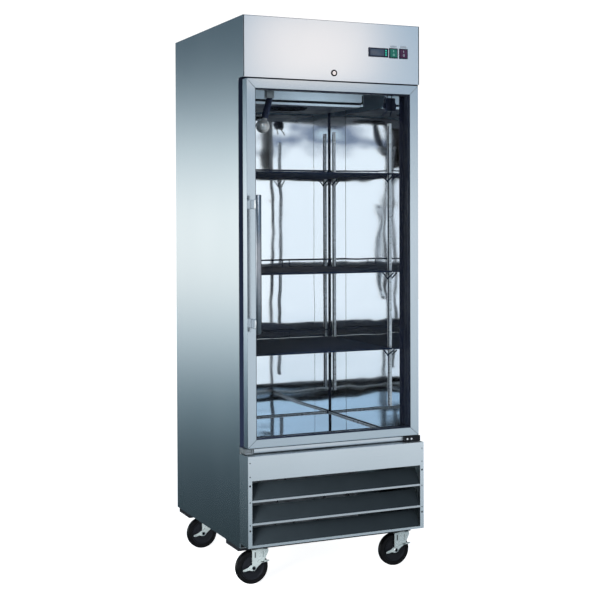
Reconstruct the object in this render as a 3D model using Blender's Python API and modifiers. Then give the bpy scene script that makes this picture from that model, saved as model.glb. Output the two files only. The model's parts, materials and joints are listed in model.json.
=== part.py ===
"""Reach-in refrigerator with one glass door, on four casters.

Metres, +Z up. X runs across the front, the door faces -Y, and the floor is Z = 0. The origin is under
the middle of the whole object. Depths are given as distances behind the cabinet's front plane, and
at_depth() turns one into a Y coordinate.
"""

from math import cos, pi, radians, sin

import bmesh
import bpy
from mathutils import Matrix, Vector

# Driving dimensions of the cabinet
WIDTH = 0.737
HEIGHT = 2.128
BODY_DEPTH = 0.735
HANDLE_REACH = 0.130
SHEET = 0.002
GAP = 0.0003
HALF = WIDTH / 2
INSIDE = HALF - SHEET - GAP
BODY_FRONT = (HANDLE_REACH - BODY_DEPTH) / 2

# Levels above the floor
BASE_BOTTOM = 0.151
BASE_TOP = BASE_BOTTOM + SHEET
GRILLE_BOTTOM = 0.170
GRILLE_TOP = 0.5065
DOOR_BOTTOM = 0.532
DOOR_TOP = 1.895
HEADER_BOTTOM = 1.901
FOAM_BOTTOM = GRILLE_TOP + 0.0012
FOAM_TOP = 1.944

# The polished food compartment
LINER_HALF = 0.310
LINER_FLOOR = 0.524
LINER_CEILING = 1.884
LINER_BACK = 0.643
LINER_SHEET = 0.001

# The door
DOOR_HALF = 0.3595
DOOR_FRONT = -0.0617
DOOR_BACK = -0.0217
GLASS_LEFT, GLASS_RIGHT = -0.325, 0.323
GLASS_LOW, GLASS_HIGH = 0.563, 1.860
REBATE = 0.010
FRAME_LIP = 0.003
GLASS_THICK = 0.022
HINGE_X, HINGE_DEPTH = 0.345, -0.035
PIN_RADIUS = 0.004
PIN_HOLE_RADIUS = 0.0043
GASKET_HALF = 0.344
GASKET_WIDTH = 0.018

# The header and its controls
HEADER_FRONT = -0.054
LOCK_Z = 1.930
LOCK_RADIUS = 0.010
LOCK_BORE = 0.0073
CONTROL_Z = 2.0175
DISPLAY_X = (0.147, 0.231)
SWITCH_X = (0.2545, 0.2985)

# Wheels and forks
WHEEL_RADIUS = 0.0635
WHEEL_HALF_WIDTH = 0.015
AXLE_RADIUS = 0.006
TRAIL = 0.030
FORK_REAR, FORK_FRONT = 0.034, 0.032
CASTER_X = (-0.274, 0.334)
CASTER_DEPTH = (0.047, 0.611)
CHANNEL_DEPTH = ((0.019, 0.151), (0.583, 0.711))
CHANNEL_BOTTOM = 0.1355

# The grille and the machine room behind it
GRILLE_FRONT = -0.0853
GRILLE_HOLE_LOW, GRILLE_HOLE_HIGH = 0.179, 0.417
GRILLE_HOLE_HALF = 0.3525
BLADE_HALF_SPAN = 0.3522
BLADE_RUN, BLADE_RISE = 0.040, 0.056
MACHINE_ROOM_TOP = 0.4665
COIL_X = (-0.310, 0.130)
COIL_Z = (0.162, 0.442)
FAN_DEPTH = 0.078
COMPRESSOR_X, COMPRESSOR_DEPTH, COMPRESSOR_RADIUS = 0.215, 0.42, 0.085

# Fittings in the food compartment
PILASTER_DEPTH = (("front", 0.084), ("rear", 0.596))
PILASTER_Z = (0.629, 1.758)
SHELF_TOPS = (("upper", 1.560), ("middle", 1.172), ("lower", 0.865))
SHELF_HALF = 0.3035
SHELF_DEPTH = (0.052, 0.610)
SHELF_BAR = 0.007
BACKSTOP_RISE = 0.032
LAMP_JOINT = (-0.202, 0.10, 1.837)
EVAPORATOR_HALF = 0.262
EVAPORATOR_DEPTH = (0.215, 0.600)
EVAPORATOR_LOW = 1.834
EVAPORATOR_FAN_DEPTH, EVAPORATOR_FAN_Z = 0.40, 1.850

AXES = {
    "X": Matrix(((0, 0, 1), (1, 0, 0), (0, 1, 0))).to_4x4(),
    "Y": Matrix(((1, 0, 0), (0, 0, -1), (0, 1, 0))).to_4x4(),
    "Z": Matrix.Identity(4),
}


def at_depth(depth):
    """The Y coordinate of a point this far behind the cabinet's front plane."""
    return BODY_FRONT + depth


def clear_scene():
    for obj in list(bpy.data.objects):
        bpy.data.objects.remove(obj)


def new_collection(name):
    collection = bpy.data.collections.new(name)
    bpy.context.scene.collection.children.link(collection)
    return collection


def finish(name, colour, roughness, metallic, alpha=1.0):
    made = bpy.data.materials.new(name)
    made.use_nodes = True
    shader = made.node_tree.nodes["Principled BSDF"]
    shader.inputs["Base Color"].default_value = (*colour, 1.0)
    shader.inputs["Roughness"].default_value = roughness
    shader.inputs["Metallic"].default_value = metallic
    shader.inputs["Alpha"].default_value = alpha
    return made


clear_scene()
PARTS = new_collection("reach_in_refrigerator")
CUTTERS = new_collection("cutters")

BRUSHED = finish("brushed_steel", (0.62, 0.66, 0.68), 0.35, 1.0)
POLISHED = finish("polished_steel", (0.85, 0.87, 0.90), 0.08, 1.0)
GALVANISED = finish("galvanised_steel", (0.55, 0.57, 0.58), 0.45, 1.0)
ZINC = finish("zinc_plate", (0.72, 0.76, 0.74), 0.3, 1.0)
CHROME = finish("chrome", (0.8, 0.8, 0.82), 0.1, 1.0)
BLACK_PAINT = finish("black_paint", (0.02, 0.02, 0.022), 0.45, 0.0)
SLATE_PAINT = finish("slate_paint", (0.06, 0.075, 0.085), 0.5, 0.0)
BLACK_PLASTIC = finish("black_plastic", (0.015, 0.015, 0.018), 0.4, 0.0)
RUBBER = finish("black_rubber", (0.012, 0.012, 0.012), 0.6, 0.0)
FOAM = finish("polyurethane_foam", (0.85, 0.80, 0.62), 0.9, 0.0)
GLASS = finish("door_glass", (0.8, 0.88, 0.9), 0.02, 0.0, 0.3)
GREEN_LENS = finish("green_lens", (0.03, 0.35, 0.22), 0.25, 0.0)
RED_LENS = finish("red_lens", (0.25, 0.03, 0.06), 0.25, 0.0)
ALUMINIUM = finish("aluminium_fins", (0.7, 0.71, 0.72), 0.4, 1.0)


def place(name, mesh, centre, surface, parent=None):
    """Puts a mesh in the scene with its own origin at centre."""
    obj = bpy.data.objects.new(name, mesh)
    mesh.materials.append(surface)
    PARTS.objects.link(obj)
    obj.location = centre
    if parent:
        obj.parent = parent
        obj.location = Vector(centre) - parent.location
    return obj


def mesh_from(name, bm):
    mesh = bpy.data.meshes.new(name)
    bm.to_mesh(mesh)
    bm.free()
    return mesh


def box(name, low, high, surface, parent=None):
    size = [b - a for a, b in zip(low, high)]
    centre = [(a + b) / 2 for a, b in zip(low, high)]
    bm = bmesh.new()
    bmesh.ops.create_cube(bm, size=1.0, matrix=Matrix.Diagonal((*size, 1.0)))
    return place(name, mesh_from(name, bm), centre, surface, parent)


def rod(name, radius, start, end, axis, centre, surface, parent=None, segments=24):
    """A round bar along X, Y or Z from start to end, where centre gives its other two coordinates."""
    turn = {"X": Matrix.Rotation(pi / 2, 4, "Y"), "Y": Matrix.Rotation(pi / 2, 4, "X"), "Z": Matrix()}[axis]
    bm = bmesh.new()
    bmesh.ops.create_cone(
        bm,
        cap_ends=True,
        segments=segments,
        radius1=radius,
        radius2=radius,
        depth=end - start,
        matrix=turn,
    )
    middle = list(centre)
    middle.insert("XYZ".index(axis), (start + end) / 2)
    obj = place(name, mesh_from(name, bm), middle, surface, parent)
    smooth(obj)
    return obj


def smooth(obj):
    obj.data.shade_smooth()
    obj.data.set_sharp_from_angle(angle=radians(35))


def turned(name, profile, centre, axis, surface, parent=None, steps=24):
    """A turned shape. profile holds (radius, height) points and runs top to bottom on its outer side."""
    closed_ring = min(r for r, _ in profile) > 0
    bm = bmesh.new()
    points = [bm.verts.new((r, 0.0, h)) for r, h in profile]
    for first, second in zip(points, points[1:]):
        bm.edges.new((first, second))
    if closed_ring:
        bm.edges.new((points[-1], points[0]))
    obj = place(name, mesh_from(name, bm), centre, surface, parent)
    turn = {"X": (0, pi / 2, 0), "Y": (pi / 2, 0, 0), "Z": (0, 0, 0)}[axis]
    obj.rotation_euler = turn
    screw = obj.modifiers.new("turn", "SCREW")
    screw.axis = "Z"
    screw.steps = steps
    screw.render_steps = steps
    screw.use_merge_vertices = True
    screw.merge_threshold = 0.00001
    screw.use_smooth_shade = True
    return obj


def outline_mesh(name, outline, holes, thickness, facing):
    """A flat plate with holes as a mesh around its own origin. facing is the axis across its thickness."""
    curve = bpy.data.curves.new(name, "CURVE")
    curve.dimensions = "2D"
    curve.fill_mode = "BOTH"
    curve.extrude = thickness / 2
    for loop in [outline, *holes]:
        spline = curve.splines.new("POLY")
        spline.points.add(len(loop) - 1)
        for point, (u, v) in zip(spline.points, loop):
            point.co = (u, v, 0.0, 1.0)
        spline.use_cyclic_u = True
    holder = bpy.data.objects.new(name, curve)
    PARTS.objects.link(holder)
    bpy.context.view_layer.update()
    graph = bpy.context.evaluated_depsgraph_get()
    mesh = bpy.data.meshes.new_from_object(holder.evaluated_get(graph))
    bpy.data.objects.remove(holder)
    bm = bmesh.new()
    bm.from_mesh(mesh)
    bmesh.ops.remove_doubles(bm, verts=bm.verts, dist=0.00001)
    bmesh.ops.transform(bm, matrix=AXES[facing], verts=bm.verts)
    bmesh.ops.recalc_face_normals(bm, faces=bm.faces)
    bm.to_mesh(mesh)
    bm.free()
    mesh.materials.clear()
    return mesh


def plate(name, outline, holes, start, end, facing, surface, parent=None):
    """A flat outline, thick from start to end along the axis it faces. Its other coordinates are the
    scene's own: Y and Z when it faces X, X and Z when it faces Y, X and Y when it faces Z."""
    mesh = outline_mesh(name, outline, holes, end - start, facing)
    centre = Vector((0, 0, 0))
    centre["XYZ".index(facing)] = (start + end) / 2
    return place(name, mesh, centre, surface, parent)


def rectangle(u0, v0, u1, v1):
    return [(u0, v0), (u1, v0), (u1, v1), (u0, v1)]


def circle(u, v, radius, count=24):
    angles = [2 * pi * i / count for i in range(count)]
    return [(u + radius * cos(angle), v + radius * sin(angle)) for angle in angles]


def combine(target, helpers, operation):
    """Joins the helpers to the target or cuts them from it, and hides them."""
    for helper in helpers:
        PARTS.objects.unlink(helper)
        CUTTERS.objects.link(helper)
        helper.hide_render = True
        helper.display_type = "WIRE"
        boolean = target.modifiers.new(helper.name, "BOOLEAN")
        boolean.operation = operation
        boolean.solver = "EXACT"
        boolean.object = helper
    return target


def join(target, *helpers):
    return combine(target, helpers, "UNION")


def cut(target, *helpers):
    return combine(target, helpers, "DIFFERENCE")


def bevel(obj, width, segments=2):
    edge = obj.modifiers.new("rounded_edges", "BEVEL")
    edge.width = width
    edge.segments = segments
    edge.limit_method = "ANGLE"
    return obj


def pivot(name, location, parent=None):
    empty = bpy.data.objects.new(name, None)
    empty.empty_display_size = 0.05
    PARTS.objects.link(empty)
    empty.location = location
    if parent:
        empty.parent = parent
        empty.location = Vector(location) - parent.location
    return empty


# Cabinet shell


def build_shell():
    wing = at_depth(HEADER_FRONT + SHEET + GAP)
    front, back = at_depth(0.0), at_depth(BODY_DEPTH)
    side = [
        (back, BASE_BOTTOM),
        (back, HEIGHT),
        (wing, HEIGHT),
        (wing, HEADER_BOTTOM),
        (front, HEADER_BOTTOM),
        (front, BASE_BOTTOM),
    ]
    plate("side_panel_left", side, [], -HALF, -HALF + SHEET, "X", BRUSHED)
    plate("side_panel_right", side, [], HALF - SHEET, HALF, "X", BRUSHED)
    inner_back = back - SHEET - GAP
    box("top_panel", (-INSIDE, wing, HEIGHT - SHEET), (INSIDE, inner_back, HEIGHT), BRUSHED)
    box("back_panel", (-INSIDE, back - SHEET, GRILLE_TOP + GAP), (INSIDE, back, HEIGHT), BRUSHED)
    pan = box("base_pan", (-INSIDE, front + GAP, BASE_BOTTOM), (INSIDE, inner_back, BASE_TOP), GALVANISED)
    build_cord_gland(pan)
    build_rear_guard(back)


def build_cord_gland(pan):
    """The bushing under the base pan that a supply cord would come out of."""
    centre = (0.20, at_depth(0.53))
    bore, body, flange, tip = 0.0045, 0.009, 0.013, 0.0075
    hole = rod("gland_hole", body + GAP, BASE_BOTTOM - 0.01, BASE_TOP + 0.01, "Z", centre, GALVANISED)
    cut(pan, hole)
    profile = [
        (bore, 0.006),
        (body, 0.006),
        (body, -GAP),
        (flange, -GAP),
        (flange, -0.004),
        (tip, -0.013),
        (bore, -0.013),
    ]
    turned("cord_gland", profile, (*centre, BASE_BOTTOM), "Z", BLACK_PLASTIC)


def build_rear_guard(back):
    slots = []
    slot_count, first_slot, pitch, slot_height = 9, 0.197, 0.031, 0.012
    for i in range(slot_count):
        low = first_slot + i * pitch
        slots.append(rectangle(-0.30, low, -0.01, low + slot_height))
        slots.append(rectangle(0.01, low, 0.30, low + slot_height))
    outline = rectangle(-INSIDE, BASE_BOTTOM, INSIDE, GRILLE_TOP)
    plate("rear_vent_guard", outline, slots, back - SHEET, back, "Y", GALVANISED)


def build_insulated_box():
    reach = LINER_SHEET + GAP
    foam = box(
        "insulation",
        (-INSIDE, at_depth(0.002), FOAM_BOTTOM),
        (INSIDE, at_depth(BODY_DEPTH - SHEET - GAP), FOAM_TOP),
        FOAM,
    )
    machine_room = box(
        "foam_machine_room_cutter",
        (-1, at_depth(0.060), 0.4),
        (1, at_depth(1), MACHINE_ROOM_TOP),
        FOAM,
    )
    cavity = box(
        "foam_cavity_cutter",
        (-LINER_HALF - reach, at_depth(-0.1), LINER_FLOOR - reach),
        (LINER_HALF + reach, at_depth(LINER_BACK + reach), LINER_CEILING + reach),
        FOAM,
    )
    cut(foam, machine_room, cavity)
    liner = box(
        "inner_liner",
        (-LINER_HALF - LINER_SHEET, at_depth(0.002), LINER_FLOOR - LINER_SHEET),
        (LINER_HALF + LINER_SHEET, at_depth(LINER_BACK + LINER_SHEET), LINER_CEILING + LINER_SHEET),
        POLISHED,
    )
    hollow = box(
        "liner_cutter",
        (-LINER_HALF, at_depth(-0.1), LINER_FLOOR),
        (LINER_HALF, at_depth(LINER_BACK), LINER_CEILING),
        POLISHED,
    )
    cut(liner, hollow)
    edge = 0.0005
    plate(
        "breaker_strip",
        rectangle(-INSIDE, FOAM_BOTTOM, INSIDE, FOAM_TOP),
        [rectangle(-LINER_HALF + edge, LINER_FLOOR + edge, LINER_HALF - edge, LINER_CEILING - edge)],
        at_depth(0.0),
        at_depth(0.0017),
        "Y",
        BLACK_PLASTIC,
    )


def build_header():
    front = at_depth(HEADER_FRONT)
    fascia = box("header_fascia", (-HALF, front, HEADER_BOTTOM), (HALF, front + SHEET, HEIGHT), BRUSHED)
    flange = box(
        "header_flange",
        (-INSIDE, front + SHEET / 2, HEADER_BOTTOM),
        (INSIDE, at_depth(-0.0008), HEADER_BOTTOM + SHEET),
        BRUSHED,
    )
    join(fascia, flange)
    holes = [
        control_cutter("display_hole", (DISPLAY_X[0] + 0.003, DISPLAY_X[1] - 0.003), 0.0145),
        rod("lock_hole", LOCK_RADIUS + GAP, front - 0.01, front + 0.01, "Y", (0, LOCK_Z), BRUSHED),
        box(
            "cam_slot",
            (-0.008, at_depth(-0.0495), HEADER_BOTTOM - 0.01),
            (0.041, at_depth(-0.0425), HEADER_BOTTOM + 0.01),
            BRUSHED,
        ),
    ]
    for number, x in enumerate(SWITCH_X):
        holes.append(control_cutter(f"switch_hole_{number}", (x - 0.0172, x + 0.0172), 0.0182))
    cut(fascia, *holes)


def control_cutter(name, across, half_height):
    """A hole through the fascia that clears a control's body."""
    front = at_depth(HEADER_FRONT)
    low = (across[0] - GAP, front - 0.01, CONTROL_Z - half_height - GAP)
    high = (across[1] + GAP, front + 0.01, CONTROL_Z + half_height + GAP)
    return box(name, low, high, BRUSHED)


def build_controls():
    front = at_depth(HEADER_FRONT)
    x0, x1 = DISPLAY_X
    bezel = box(
        "thermostat",
        (x0, front - 0.003, CONTROL_Z - 0.0175),
        (x1, front - GAP, CONTROL_Z + 0.0175),
        BLACK_PLASTIC,
    )
    body = box(
        "thermostat_body",
        (x0 + 0.003, front - 0.002, CONTROL_Z - 0.0145),
        (x1 - 0.003, front + 0.045, CONTROL_Z + 0.0145),
        BLACK_PLASTIC,
    )
    join(bezel, body)
    build_switches(front)
    build_lock(front)


def build_switches(front):
    back_low = (SWITCH_X[0] - 0.0172, front + 0.022, CONTROL_Z - 0.0182)
    back_high = (SWITCH_X[1] + 0.0172, front + 0.030, CONTROL_Z + 0.0182)
    housing = box("switch_housing", back_low, back_high, BLACK_PLASTIC)
    pockets = []
    colours = (GREEN_LENS, RED_LENS)
    for name, x, colour in zip(("light_switch", "power_switch"), SWITCH_X, colours):
        rim = box(
            f"{name}_rim",
            (x - 0.0185, front - 0.0022, CONTROL_Z - 0.0195),
            (x + 0.0185, front - GAP, CONTROL_Z + 0.0195),
            BLACK_PLASTIC,
        )
        sleeve = box(
            f"{name}_sleeve",
            (x - 0.0172, front - 0.001, CONTROL_Z - 0.0182),
            (x + 0.0172, front + 0.023, CONTROL_Z + 0.0182),
            BLACK_PLASTIC,
        )
        join(housing, rim, sleeve)
        pockets.append(
            box(
                f"{name}_pocket",
                (x - 0.0152, front - 0.01, CONTROL_Z - 0.0165),
                (x + 0.0152, front + 0.012, CONTROL_Z + 0.0165),
                BLACK_PLASTIC,
            )
        )
        build_rocker(name, x, front, colour)
    cut(housing, *pockets)


def build_rocker(name, x, front, colour):
    """A rocker that rests tipped to one side and turns about X to the other."""
    axis = (x, front + 0.0015, CONTROL_Z)
    hinge = pivot(f"{name}_axis", axis)
    rocker = box(
        f"{name}_rocker",
        (x - 0.0146, front - 0.0035, CONTROL_Z - 0.0155),
        (x + 0.0146, front + 0.0065, CONTROL_Z + 0.0155),
        colour,
        hinge,
    )
    rocker.rotation_euler = (radians(-6), 0, 0)


def build_lock(front):
    outer, inner = LOCK_RADIUS, LOCK_BORE
    flange = outer + 0.0025
    profile = [
        (inner, 0.0028),
        (flange - 0.001, 0.0028),
        (flange, 0.0018),
        (flange, GAP),
        (outer, GAP),
        (outer, -0.0035),
        (inner, -0.0035),
    ]
    turned("lock_body", profile, (0, front, LOCK_Z), "Y", CHROME)
    turn = pivot("lock_axis", (0, front, LOCK_Z))
    plug = rod("lock_plug", inner - GAP, front - 0.002, front + 0.006, "Y", (0, LOCK_Z), CHROME, turn)
    cam = box(
        "lock_cam",
        (-0.006, front + 0.0055, LOCK_Z - 0.006),
        (0.046, front + 0.0085, LOCK_Z + 0.006),
        CHROME,
    )
    join(plug, cam)


def build_sill():
    back = at_depth(-0.0008)
    low, rail_top = GRILLE_TOP + 0.0012, DOOR_BOTTOM - 0.0035
    rail = box("sill_rail", (-0.345, at_depth(-0.047), low + 0.0028), (0.298, back, rail_top), BRUSHED)
    corner = box("sill_corner", (-HALF, at_depth(-0.054), low), (-0.331, back, rail_top + 0.002), GALVANISED)
    join(rail, corner)
    pin = (HINGE_X, at_depth(HINGE_DEPTH))
    bracket = box(
        "bottom_hinge_bracket",
        (0.2985, at_depth(-0.058), low),
        (HALF, back, rail_top),
        BLACK_PAINT,
    )
    join(bracket, rod("bottom_pin", PIN_RADIUS, DOOR_BOTTOM - 0.008, DOOR_BOTTOM + 0.013, "Z", pin, ZINC))
    upper = box(
        "top_hinge_bracket",
        (0.300, at_depth(-0.050), DOOR_TOP + 0.0027),
        (INSIDE, back, HEADER_BOTTOM - GAP),
        BLACK_PAINT,
    )
    join(upper, rod("top_pin", PIN_RADIUS, DOOR_TOP - 0.013, DOOR_TOP + 0.004, "Z", pin, ZINC))


# The door


def build_door():
    hinge = pivot("door_hinge_axis", (HINGE_X, at_depth(HINGE_DEPTH), 0))
    opening = rectangle(GLASS_LEFT, GLASS_LOW, GLASS_RIGHT, GLASS_HIGH)
    frame = plate(
        "door_frame",
        rectangle(-DOOR_HALF, DOOR_BOTTOM, DOOR_HALF, DOOR_TOP),
        [opening],
        at_depth(DOOR_FRONT),
        at_depth(DOOR_BACK),
        "Y",
        BRUSHED,
    )
    seat = box(
        "glass_seat_cutter",
        (GLASS_LEFT - REBATE, at_depth(DOOR_FRONT + FRAME_LIP), GLASS_LOW - REBATE),
        (GLASS_RIGHT + REBATE, at_depth(DOOR_BACK + 0.01), GLASS_HIGH + REBATE),
        BRUSHED,
    )
    pin = (HINGE_X, at_depth(HINGE_DEPTH))
    cam_seat = box(
        "cam_seat_cutter",
        (-0.009, at_depth(-0.0505), DOOR_TOP - 0.014),
        (0.036, at_depth(-0.0415), DOOR_TOP + 0.01),
        BRUSHED,
    )
    cut(
        frame,
        seat,
        cam_seat,
        rod("bottom_pin_hole", PIN_HOLE_RADIUS, DOOR_BOTTOM - 0.01, DOOR_BOTTOM + 0.015, "Z", pin, BRUSHED),
        rod("top_pin_hole", PIN_HOLE_RADIUS, DOOR_TOP - 0.015, DOOR_TOP + 0.01, "Z", pin, BRUSHED),
    )
    ride_on(frame, hinge)
    edge = REBATE - 2 * GAP
    glass_front = DOOR_FRONT + FRAME_LIP + GAP
    box(
        "door_glass",
        (GLASS_LEFT - edge, at_depth(glass_front), GLASS_LOW - edge),
        (GLASS_RIGHT + edge, at_depth(glass_front + GLASS_THICK), GLASS_HIGH + edge),
        GLASS,
        hinge,
    )
    bead = 0.003
    inner = plate(
        "door_inner_frame",
        rectangle(GLASS_LEFT - edge, GLASS_LOW - edge, GLASS_RIGHT + edge, GLASS_HIGH + edge),
        [rectangle(GLASS_LEFT + bead, GLASS_LOW + bead, GLASS_RIGHT - bead, GLASS_HIGH - bead)],
        at_depth(glass_front + GLASS_THICK + GAP),
        at_depth(DOOR_BACK - GAP),
        "Y",
        BLACK_PLASTIC,
    )
    ride_on(inner, hinge)
    low, high = DOOR_BOTTOM + 0.015, DOOR_TOP - 0.015
    gasket = plate(
        "door_gasket",
        rectangle(-GASKET_HALF, low, GASKET_HALF, high),
        [
            rectangle(
                -GASKET_HALF + GASKET_WIDTH,
                low + GASKET_WIDTH,
                GASKET_HALF - GASKET_WIDTH,
                high - GASKET_WIDTH,
            )
        ],
        at_depth(DOOR_BACK + GAP),
        at_depth(-0.0006),
        "Y",
        RUBBER,
    )
    ride_on(gasket, hinge)
    build_handle(hinge)


def ride_on(obj, parent):
    """Hangs an object that already lies in the right place from a parent empty."""
    obj.location = obj.location - parent.location
    obj.parent = parent


def build_handle(hinge):
    x, radius, low_end, high_end, post_inset = -0.337, 0.010, 0.959, 1.466, 0.0345
    centre = (x, at_depth(-HANDLE_REACH + radius))
    tube = rod("handle_tube", radius, low_end, high_end, "Z", centre, POLISHED, hinge)
    bevel(tube, 0.002, 1)
    posts = {"handle_post_upper": high_end - post_inset, "handle_post_lower": low_end + post_inset}
    for name, z in posts.items():
        low = (x - 0.0075, at_depth(-HANDLE_REACH + 2 * radius + GAP), z - 0.017)
        high = (x + 0.0075, at_depth(DOOR_FRONT - GAP), z + 0.017)
        box(name, low, high, BRUSHED, hinge)


# The grille in front of the condensing unit


def build_grille():
    front, back = at_depth(GRILLE_FRONT), at_depth(-0.0005)
    channel = [
        (-HALF, back),
        (-HALF, front),
        (HALF, front),
        (HALF, back),
        (HALF - SHEET, back),
        (HALF - SHEET, front + SHEET),
        (-HALF + SHEET, front + SHEET),
        (-HALF + SHEET, back),
    ]
    frame = plate("grille_frame", channel, [], GRILLE_BOTTOM, GRILLE_TOP, "Z", BRUSHED)
    opening = box(
        "grille_opening_cutter",
        (-GRILLE_HOLE_HALF, front - 0.01, GRILLE_HOLE_LOW),
        (GRILLE_HOLE_HALF, front + 0.01, GRILLE_HOLE_HIGH),
        BRUSHED,
    )
    cut(frame, opening)
    lip_tops = {"louvre_blade_upper": 0.3445, "louvre_blade_middle": 0.2605}
    for name, top in lip_tops.items():
        build_blade(name, front, top, top - 0.008)
    build_blade("louvre_blade_lower", front + SHEET + GAP, GRILLE_HOLE_LOW - 0.0002, GRILLE_BOTTOM + 0.0022)


def build_blade(name, front, top, bottom):
    """A sheet blade: an upright lip at the front and a slope that climbs to the back."""
    lip_back = front + SHEET
    blade_back, upright = lip_back + BLADE_RUN, 0.003
    profile = [
        (front, bottom),
        (lip_back, bottom),
        (lip_back, top - upright),
        (blade_back, top + BLADE_RISE - upright),
        (blade_back, top + BLADE_RISE),
        (front, top),
    ]
    plate(name, profile, [], -BLADE_HALF_SPAN, BLADE_HALF_SPAN, "X", SLATE_PAINT)


# The refrigeration unit


def fan_blades(name, axis_point, axis, radius, surface, parent):
    """A hub with four pitched blades, turning about axis through axis_point."""
    x, y, z = axis_point
    hub_radius, half_hub = 0.022, 0.009
    if axis == "Y":
        hub = rod(name, hub_radius, y - half_hub, y + half_hub, "Y", (x, z), surface, parent, 16)
    else:
        hub = rod(name, hub_radius, z - half_hub, z + half_hub, "Z", (x, y), surface, parent, 16)
    inner, half_chord, half_sheet = 0.012, 0.022, 0.001
    half_length, reach = (radius - inner) / 2, (radius + inner) / 2
    pitch = Matrix.Rotation(radians(24), 4, "X")
    stand = Matrix.Rotation(pi / 2, 4, "X") if axis == "Y" else Matrix.Identity(4)
    wing_count = 4
    for i in range(wing_count):
        blade = box(
            f"{name}_wing_{i}",
            (-half_length, -half_chord, -half_sheet),
            (half_length, half_chord, half_sheet),
            surface,
        )
        spin = Matrix.Rotation(2 * pi * i / wing_count, 4, "Z")
        blade.data.transform(stand @ spin @ Matrix.Translation((reach, 0, 0)) @ pitch)
        blade.location = axis_point
        join(hub, blade)
    return hub


def build_condensing_unit():
    (left, right), (low, high) = COIL_X, COIL_Z
    box("condenser_coil", (left, at_depth(0.012), low), (right, at_depth(0.054), high), ALUMINIUM)
    centre_x, centre_z = (left + right) / 2, (low + high) / 2
    shroud = plate(
        "condenser_fan_shroud",
        rectangle(left, low, right, high),
        [circle(centre_x, centre_z, 0.118, 32)],
        at_depth(0.0543),
        at_depth(0.0563),
        "Y",
        BLACK_PAINT,
    )
    feet = [
        box(
            f"motor_foot_{side}",
            (x - 0.006, at_depth(0.0555), centre_z - 0.012),
            (x + 0.006, at_depth(0.102), centre_z + 0.012),
            BLACK_PAINT,
        )
        for side, x in (("left", left + 0.008), ("right", right - 0.008))
    ]
    bar = box(
        "motor_bar",
        (left + 0.004, at_depth(0.099), centre_z - 0.012),
        (right - 0.004, at_depth(0.102), centre_z + 0.012),
        BLACK_PAINT,
    )
    motor = rod("motor_can", 0.036, at_depth(0.0985), at_depth(0.150), "Y", (centre_x, centre_z), BLACK_PAINT)
    join(shroud, *feet, bar, motor)
    hub_point = (centre_x, at_depth(FAN_DEPTH), centre_z)
    fan_axis = pivot("condenser_fan_axis", hub_point)
    fan_blades("condenser_fan_blade", hub_point, "Y", 0.108, ALUMINIUM, fan_axis)
    build_compressor()


def build_compressor():
    x, y, radius = COMPRESSOR_X, at_depth(COMPRESSOR_DEPTH), COMPRESSOR_RADIUS
    profile = [
        (0.0, 0.185),
        (radius * 0.45, 0.182),
        (radius * 0.8, 0.165),
        (radius * 0.97, 0.135),
        (radius * 0.97, 0.085),
        (radius, 0.083),
        (radius, 0.075),
        (radius * 0.97, 0.073),
        (radius * 0.97, 0.045),
        (radius * 0.75, 0.018),
        (radius * 0.4, 0.010),
        (0.0, 0.009),
    ]
    shell = turned("compressor", profile, (x, y, BASE_TOP + GAP), "Z", BLACK_PAINT, steps=20)
    reach, low = radius * 1.15, BASE_TOP + GAP
    foot = box(
        "compressor_foot",
        (x - reach, y - reach * 0.7, low),
        (x + reach, y + reach * 0.7, low + 0.014),
        BLACK_PAINT,
    )
    join(shell, foot)


# Fittings inside the food compartment


def build_shelving():
    outer = LINER_HALF - GAP
    half_width, thick = 0.008, 0.005
    for depth_name, depth in PILASTER_DEPTH:
        for side_name, side in (("left", -1), ("right", 1)):
            edges = sorted((side * outer, side * (outer - thick)))
            box(
                f"pilaster_{side_name}_{depth_name}",
                (edges[0], at_depth(depth - half_width), PILASTER_Z[0]),
                (edges[1], at_depth(depth + half_width), PILASTER_Z[1]),
                GALVANISED,
            )
    for name, top in SHELF_TOPS:
        build_shelf(f"wire_shelf_{name}", top)


def build_shelf(name, top):
    """A rim and seven cross wires with the spaces open between them, and a low rail along the back."""
    half, (front, back) = SHELF_HALF, SHELF_DEPTH
    bar, count = SHELF_BAR, 7
    pitch = (back - front - bar) / (count + 1)
    holes = []
    for i in range(count + 1):
        start = front + bar + i * pitch
        holes.append(rectangle(-half + bar, at_depth(start), half - bar, at_depth(start + pitch - bar)))
    outline = rectangle(-half, at_depth(front), half, at_depth(back))
    shelf = plate(name, outline, holes, top - bar, top, "Z", BLACK_PAINT)
    radius, y = 0.0025, at_depth(back - bar / 2)
    rail_z = top + BACKSTOP_RISE - radius
    backstop = [rod(f"{name}_backstop", radius, -half, half, "X", (y, rail_z), BLACK_PAINT, segments=8)]
    for number, share in enumerate((-0.985, -0.33, 0.33, 0.985)):
        x = share * half
        foot, head = (x - 0.002, y - 0.002, top - 0.002), (x + 0.002, y + 0.002, rail_z)
        backstop.append(box(f"{name}_upright_{number}", foot, head, BLACK_PAINT))
    join(shelf, *backstop)


def build_lamp():
    """A bulb and its holder, hung at a slant from a foot on the ceiling."""
    joint = (LAMP_JOINT[0], at_depth(LAMP_JOINT[1]), LAMP_JOINT[2])
    globe_radius, globe_drop = 0.027, 0.107
    arc = [radians(angle) for angle in range(55, -90, -18)]
    globe = [(globe_radius * cos(a), globe_radius * sin(a) - globe_drop) for a in arc]
    profile = [(0.0, 0.010), (0.011, 0.006), (0.013, -0.050), (0.0135, -0.078), *globe]
    profile.append((0.0, -globe_radius - globe_drop))
    lamp = turned("interior_lamp", profile, joint, "Z", CHROME, steps=20)
    lamp.rotation_euler = (0, radians(15), 0)
    foot = box(
        "lamp_foot",
        (joint[0] - 0.016, joint[1] - 0.014, joint[2] - 0.004),
        (joint[0] + 0.016, joint[1] + 0.014, LINER_CEILING - GAP),
        CHROME,
    )
    return join(lamp, foot)


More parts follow.
